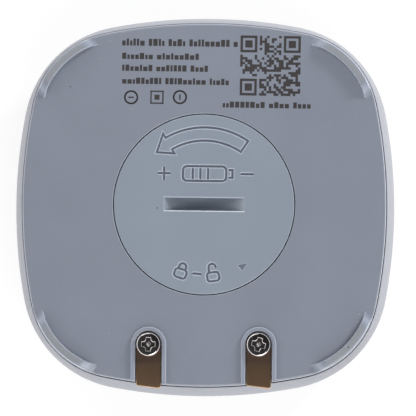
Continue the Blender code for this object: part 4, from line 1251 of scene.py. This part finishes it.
printing = {
    "lift": 0.012 * mm,
    "lean": radians(-0.8),
    # middle, left end, right end and height of each row, in pixels
    "rows": [(41.0, 122.0, 238.0, 7.0), (55.0, 122.0, 199.0, 6.2), (67.0, 122.0, 208.0, 6.2),
             (80.0, 122.0, 229.0, 6.2), (104.5, 223.0, 311.0, 6.0)],
    "groups": (4, 5, 6, 7, 9),                 # bars in a group
    "barWidths": (2.2, 3.2, 3.8, 4.2),
    "barHeights": (1.0, 1.0, 0.72, 0.72),      # as a share of the row's height
    "barGap": 1.1,
    "groupGap": 3.0,
    "shortest": 2.0,                           # a row stops where less than this is left
    # the block pattern: left edge, upper edge and side in pixels, and its cells
    "pattern": (240.5, 35.4, 60.5),
    "cells": 25,
    "cornerCells": 7,
    "filled": 0.5,
    # the signs: (x in pixels, with a ring, bars as (dx, dy, width, height)), all at one height
    "signRow": 97.0,
    "ring": (6.3, 40, 1.5),                    # radius, dots and a dot's width
    "signs": [(131.0, True, [(0, 0, 5.5, 1.4)]),
              (157.0, False, [(0, 6, 13, 1.3), (0, -6, 13, 1.3), (6, 0, 1.3, 13), (-6, 0, 1.3, 13),
                              (0, 0, 5, 5)]),
              (180.0, True, [(0, 0, 1.4, 5.5)])],
    "seed": 7,
}
pixel = mm / photo["perMm"]


def fromPhoto(px, py):
    # a pixel of the photograph to a place on the plate, in metres
    centreX, centreY = photo["centre"]
    place = Vector(((px - centreX) / photo["perMm"], (centreY - py) / photo["perMm"])) * mm
    return Matrix.Rotation(photo["roll"], 2) @ place


def scatterTree(name, material):
    # sets a flat tile on each point, sized by the point's own width and height
    tree, inputs = geometryTree(name, "Thickness")
    tile = addNode(tree, "GeometryNodeMeshCube", {"Size": (1.0, 1.0, 1.0)})
    wide = addNode(tree, "GeometryNodeInputNamedAttribute", {"data_type": "FLOAT", "Name": "tileWidth"})
    tall = addNode(tree, "GeometryNodeInputNamedAttribute", {"data_type": "FLOAT", "Name": "tileHeight"})
    size = addNode(tree, "ShaderNodeCombineXYZ",
                   links={0: wide.outputs[0], 1: tall.outputs[0], 2: inputs["Thickness"]})
    lean = addNode(tree, "FunctionNodeInputVector", {"vector": (0, 0, printing["lean"])})
    placed = addNode(tree, "GeometryNodeInstanceOnPoints",
                     links={"Points": inputs["Geometry"], "Instance": tile.outputs[0],
                            "Rotation": lean.outputs[0], "Scale": size.outputs[0]})
    endTree(tree, placed.outputs[0], material)
    return tree


def tilePiece(name, tiles, tree, body=housing, ground=plateTop):
    # tiles is a list of (place, width, height); returns them as one thin printed piece
    mesh = bpy.data.meshes.new(name)
    middle = ground + printing["lift"] / 2
    mesh.from_pydata([(tile[0].x, tile[0].y, middle) for tile in tiles], [], [])
    for label, index in (("tileWidth", 1), ("tileHeight", 2)):
        layer = mesh.attributes.new(label, "FLOAT", "POINT")
        layer.data.foreach_set("value", [tile[index] for tile in tiles])
    obj = runTree(newObject(name, mesh), tree, {"Thickness": printing["lift"]})
    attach(obj, body)
    return obj


def rowTiles(y, first, last, height):
    # plain bars as wide as small strokes, in groups with gaps between them
    bars = []
    x = first
    while x < last - printing["shortest"]:
        for _ in range(random.choice(printing["groups"])):
            width = random.choice(printing["barWidths"])
            if x + width > last:
                break
            bars.append((x, width, random.choice(printing["barHeights"])))
            x += width + printing["barGap"]
        x += printing["groupGap"]
    stretch = (last - first) / (bars[-1][0] + bars[-1][1] - first)   # fills the row to its end
    tiles = []
    for x, width, tall in bars:
        along = (x + width / 2 - first) * stretch
        sag = along * sin(photo["roll"] - printing["lean"])
        centre = fromPhoto(first + along, y + sag + height * (1 - tall) / 2)
        tiles.append((centre, width * stretch * pixel, height * tall * pixel))
    return tiles


def patternTiles():
    # a made-up block pattern: nested squares in three corners and a seeded scatter between them
    px, py, size = printing["pattern"]
    cells = printing["cells"]
    pitch = size / cells
    tiles = []
    spin = Matrix.Rotation(printing["lean"], 2)
    middle = fromPhoto(px + size / 2, py + size / 2)

    def put(column, row, wide=1.0, tall=1.0):
        offset = Vector((column + wide / 2 - cells / 2, cells / 2 - row - tall / 2)) * pitch * pixel
        tiles.append((middle + spin @ offset, wide * pitch * pixel, tall * pitch * pixel))

    side = printing["cornerCells"]
    corners = ((0, 0), (cells - side, 0), (0, cells - side))
    for column, row in corners:
        put(column, row, side, 1)
        put(column, row + side - 1, side, 1)
        put(column, row + 1, 1, side - 2)
        put(column + side - 1, row + 1, 1, side - 2)
        put(column + 2, row + 2, side - 4, side - 4)
    for row in range(cells):
        for column in range(cells):
            free = all(not (c - 1 <= column <= c + side and r - 1 <= row <= r + side) for c, r in corners)
            if free and random.random() < printing["filled"]:
                put(column, row)
    return tiles


def signTiles():
    # three plain signs of short bars: a ring round a dash, a square round a block, a ring round a bar
    radius, count, dot = printing["ring"]
    angles = [2 * pi * i / count for i in range(count)]
    ring = [(radius * cos(a), radius * sin(a), dot, dot) for a in angles]
    return [(fromPhoto(px + dx, printing["signRow"] + dy), wide * pixel, tall * pixel)
            for px, ringed, bars in printing["signs"]
            for dx, dy, wide, tall in (ring if ringed else []) + bars]


random.seed(printing["seed"])
tileTree = scatterTree("printTiles", printInk)
dustTree = scatterTree("dustTiles", dust)
rows = []
for y, first, last, height in printing["rows"]:
    rows += rowTiles(y, first, last, height)
tilePiece("printedRows", rows, tileTree)
tilePiece("printedSigns", signTiles(), tileTree)
tilePiece("printedPattern", patternTiles(), tileTree)
print("print made")


# Dust and nicks where the photograph shows them: (x, y, width, height) in pixels

marks = {
    "plateDirt": (printInk, housing, plateTop, [(70.0, 86.0, 1.1, 1.1)]),
    "footDirt": (printInk, housing, feetTop, [(348.0, 348.0, 1.3, 1.1)]),
    "coverDirt": (printInk, turning, plateTop, [(157.5, 208.5, 0.9, 1.4)]),
    "plateDust": (dust, housing, plateTop, [(109.0, 334.0, 1.0, 1.0), (359.0, 315.0, 1.3, 0.9),
                                            (357.0, 323.0, 0.9, 0.9), (348.0, 330.0, 0.8, 1.2),
                                            (99.8, 58.5, 0.8, 0.8)]),
    "coverDust": (dust, turning, plateTop, [(255.5, 157.5, 0.9, 0.9), (173.4, 252.4, 0.8, 0.8)]),
}
for name, (material, body, ground, spots) in marks.items():
    tiles = [(fromPhoto(px, py), wide * pixel, tall * pixel) for px, py, wide, tall in spots]
    dark = material is printInk
    tilePiece(name, tiles, tileTree if dark else dustTree, body, ground)
print("marks made")


# Finishes of the CAD nodes that stay

finishes = {
    "battery_cover_seal": blackRubber, "housing_seal": blackRubber, "coin_cell": nickelSteel,
    "negative_contact": nickelSteel, "positive_contact": nickelSteel, "circuit_board": boardGreen,
    "radio_module": nickelSteel, "sounder": blackPlastic, "storage_capacitor": blueSleeve,
    "microcontroller": blackPlastic, "crystal": nickelSteel, "status_lamp": clearLens,
    "light_pipe": clearLens, "left_probe_insert": plainBrass, "right_probe_insert": plainBrass,
}
for node, material in finishes.items():
    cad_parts[node].data.materials.clear()
    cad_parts[node].data.materials.append(material)
print("inner pieces dressed")


# Table, light and camera

studio = {
    "floorSize": 1.6,
    "floorDrop": 0.1 * mm,
    "floorShade": "#8E8E90",       # what the object is lit by
    "floorRoughness": 0.6,
    "floorGlow": 0.82,             # what the background shows of the table: its white,
    "floorShadow": 0.24,           # and how strongly it takes the object's shadow
    "tentStrength": 1.35,
    # brightness of the tent by the height of the direction, 0 at the horizon and 1 overhead
    "tent": [(0.0, 0.60), (0.10, 1.0), (0.42, 1.0), (0.58, 0.25), (0.75, 0.06), (1.0, 0.025)],
    # and its brightness round the horizon, by azimuth in degrees: bright in front and on the left,
    # half as bright on the right, with a dark gap straight behind
    "tentRound": [(-180, 1.2), (-155, 1.1), (-140, 1.3), (-90, 1.35), (-45, 1.45), (-30, 0.9), (8, 0.45),
                  (20, 0.6), (50, 0.5), (75, 0.7), (83, 0.2), (112, 0.2), (120, 1.0), (150, 1.3), (180, 1.2)],
    "backdropTop": 0.1,            # height of the direction up to which the white backdrop reaches
    "lampDistance": 0.6,
    "lampAim": (0, 0, 0.01),
    "lowestMirrored": 20.0,        # a lamp lower than this, in degrees, would glare on the plate in low views
    # azimuth and elevation in degrees, size in m, power in W
    "lamps": [("lampRight", 42.0, 15.5, 0.13, 2.5), ("lampLeft", 132.0, 17.0, 0.16, 0.35),
              ("lampFront", 290.0, 55.0, 0.3, 1.1), ("lampTop", 110.0, 55.0, 0.3, 0.47)],
}


def backgroundRays(tree, share=None):
    # 1 for the rays that see the white background; share thins it for the glossy and transmission rays
    rays = addNode(tree, "ShaderNodeLightPath").outputs
    mirrored = addNode(tree, "ShaderNodeMath", {"operation": "MAXIMUM"},
                       {0: rays["Is Glossy Ray"], 1: rays["Is Transmission Ray"]}).outputs[0]
    if share is not None:
        mirrored = addNode(tree, "ShaderNodeMath", {"operation": "MULTIPLY"},
                           {0: mirrored, 1: share}).outputs[0]
    return addNode(tree, "ShaderNodeMath", {"operation": "MAXIMUM"},
                   {0: rays["Is Camera Ray"], 1: mirrored}).outputs[0]


def makeFloor():
    bm = bmesh.new()
    bmesh.ops.create_grid(bm, x_segments=2, y_segments=2, size=studio["floorSize"])
    floor = toObject(bm, "table")
    floor.data.transform(Matrix.Translation((0, 0, -studio["floorDrop"])))
    material, tree = newMaterial("whiteTable")
    shader = tree.nodes["Principled BSDF"]
    shader.inputs["Base Color"].default_value = hexColour(studio["floorShade"])
    shader.inputs["Roughness"].default_value = studio["floorRoughness"]
    glow = addNode(tree, "ShaderNodeEmission", {"Color": grey(1.0), "Strength": studio["floorGlow"]})
    dim = addNode(tree, "ShaderNodeBsdfDiffuse", {"Color": grey(studio["floorShadow"])})
    seen = addNode(tree, "ShaderNodeAddShader", links={0: glow.outputs[0], 1: dim.outputs[0]})
    mix = addNode(tree, "ShaderNodeMixShader",
                  links={0: backgroundRays(tree), 1: shader.outputs[0], 2: seen.outputs[0]})
    output = next(n for n in tree.nodes if n.type == "OUTPUT_MATERIAL")
    tree.links.new(mix.outputs[0], output.inputs["Surface"])
    floor.data.materials.append(material)


def makeWorld():
    # a soft tent: bright round the sides, darker straight above where the camera looks in
    world = bpy.data.worlds.new("tent")
    bpy.context.scene.world = world
    world.use_nodes = True
    tree = world.node_tree
    tree.nodes.clear()
    direction = addNode(tree, "ShaderNodeTexCoord").outputs["Generated"]
    sides = addNode(tree, "ShaderNodeSeparateXYZ", links={0: direction}).outputs
    ramp = setRamp(addNode(tree, "ShaderNodeValToRGB", links={0: sides["Z"]}),
                   [(height, grey(value)) for height, value in studio["tent"]])
    azimuth = addNode(tree, "ShaderNodeMath", {"operation": "ARCTAN2"}, {0: sides["Y"], 1: sides["X"]})
    turn = addNode(tree, "ShaderNodeMapRange", {1: -pi, 2: pi, 3: 0.0, 4: 1.0}, {0: azimuth.outputs[0]})
    most = max(value for _, value in studio["tentRound"])
    circle = setRamp(addNode(tree, "ShaderNodeValToRGB", links={0: turn.outputs[0]}),
                     [((degrees + 180) / 360, grey(value / most)) for degrees, value in studio["tentRound"]])
    strength = addNode(tree, "ShaderNodeMath", {"operation": "MULTIPLY", 1: studio["tentStrength"] * most},
                       {0: circle.outputs["Color"]})
    tent = addNode(tree, "ShaderNodeBackground",
                   links={"Color": ramp.outputs["Color"], "Strength": strength.outputs[0]})
    # the white backdrop stands at the horizon; metal and clear parts mirror it there, and the tent above it
    backdrop = addNode(tree, "ShaderNodeMath", {"operation": "LESS_THAN", 1: studio["backdropTop"]},
                       {0: sides["Z"]}).outputs[0]
    white = addNode(tree, "ShaderNodeBackground", {"Color": grey(1.0), "Strength": 1.0})
    mix = addNode(tree, "ShaderNodeMixShader",
                  links={0: backgroundRays(tree, backdrop), 1: tent.outputs[0], 2: white.outputs[0]})
    tree.links.new(mix.outputs[0], addNode(tree, "ShaderNodeOutputWorld").inputs["Surface"])


def areaLamp(name, place, size, power):
    lamp = bpy.data.lights.new(name, "AREA")
    lamp.shape = "DISK"
    lamp.size = size
    lamp.energy = power
    obj = newObject(name, lamp)
    obj.location = place
    aim = Vector(studio["lampAim"]) - Vector(place)
    obj.rotation_euler = aim.to_track_quat("-Z", "Y").to_euler()
    return obj


makeFloor()
makeWorld()
for name, azimuth, elevation, size, power in studio["lamps"]:
    turn, rise, far = radians(azimuth), radians(elevation), studio["lampDistance"]
    place = (far * cos(rise) * cos(turn), far * cos(rise) * sin(turn), far * sin(rise))
    lamp = areaLamp(name, place, size, power)
    lamp.visible_glossy = elevation > studio["lowestMirrored"]

view = {
    "distance": 0.40,
    "leanX": radians(1.6),
    "leanY": radians(4.3),
    "focusHeight": 9.5 * mm,       # height of the widest line
    "widestCentre": (205.05, 206.92),
    "perMm": 6.902,                # pixels a millimetre at that height
    "imageSize": 416,
    "sensor": 36.0,
}


def makeCamera():
    v = view
    camera = newObject("camera", bpy.data.cameras.new("camera"))
    span = v["imageSize"] / v["perMm"] * mm
    camera.data.sensor_width = v["sensor"]
    camera.data.sensor_height = v["sensor"]
    camera.data.lens = v["sensor"] / 2 / (span / 2 / v["distance"])
    middle = v["imageSize"] / 2
    aim = Vector(((middle - v["widestCentre"][0]) / v["perMm"] * mm,
                  (v["widestCentre"][1] - middle) / v["perMm"] * mm, v["focusHeight"]))
    away = Vector((tan(v["leanX"]), -tan(v["leanY"]), 1.0)).normalized()
    camera.location = aim + away * v["distance"]
    upright = Vector((-sin(photo["roll"]), cos(photo["roll"]), 0))
    right = upright.cross(away).normalized()
    upward = away.cross(right)
    camera.matrix_world = Matrix((
        (right.x, upward.x, away.x, camera.location.x),
        (right.y, upward.y, away.y, camera.location.y),
        (right.z, upward.z, away.z, camera.location.z),
        (0, 0, 0, 1)))
    camera.data.clip_start = 0.01
    bpy.context.scene.camera = camera


makeCamera()
bpy.context.scene.view_settings.view_transform = "Standard"
print("studio set")
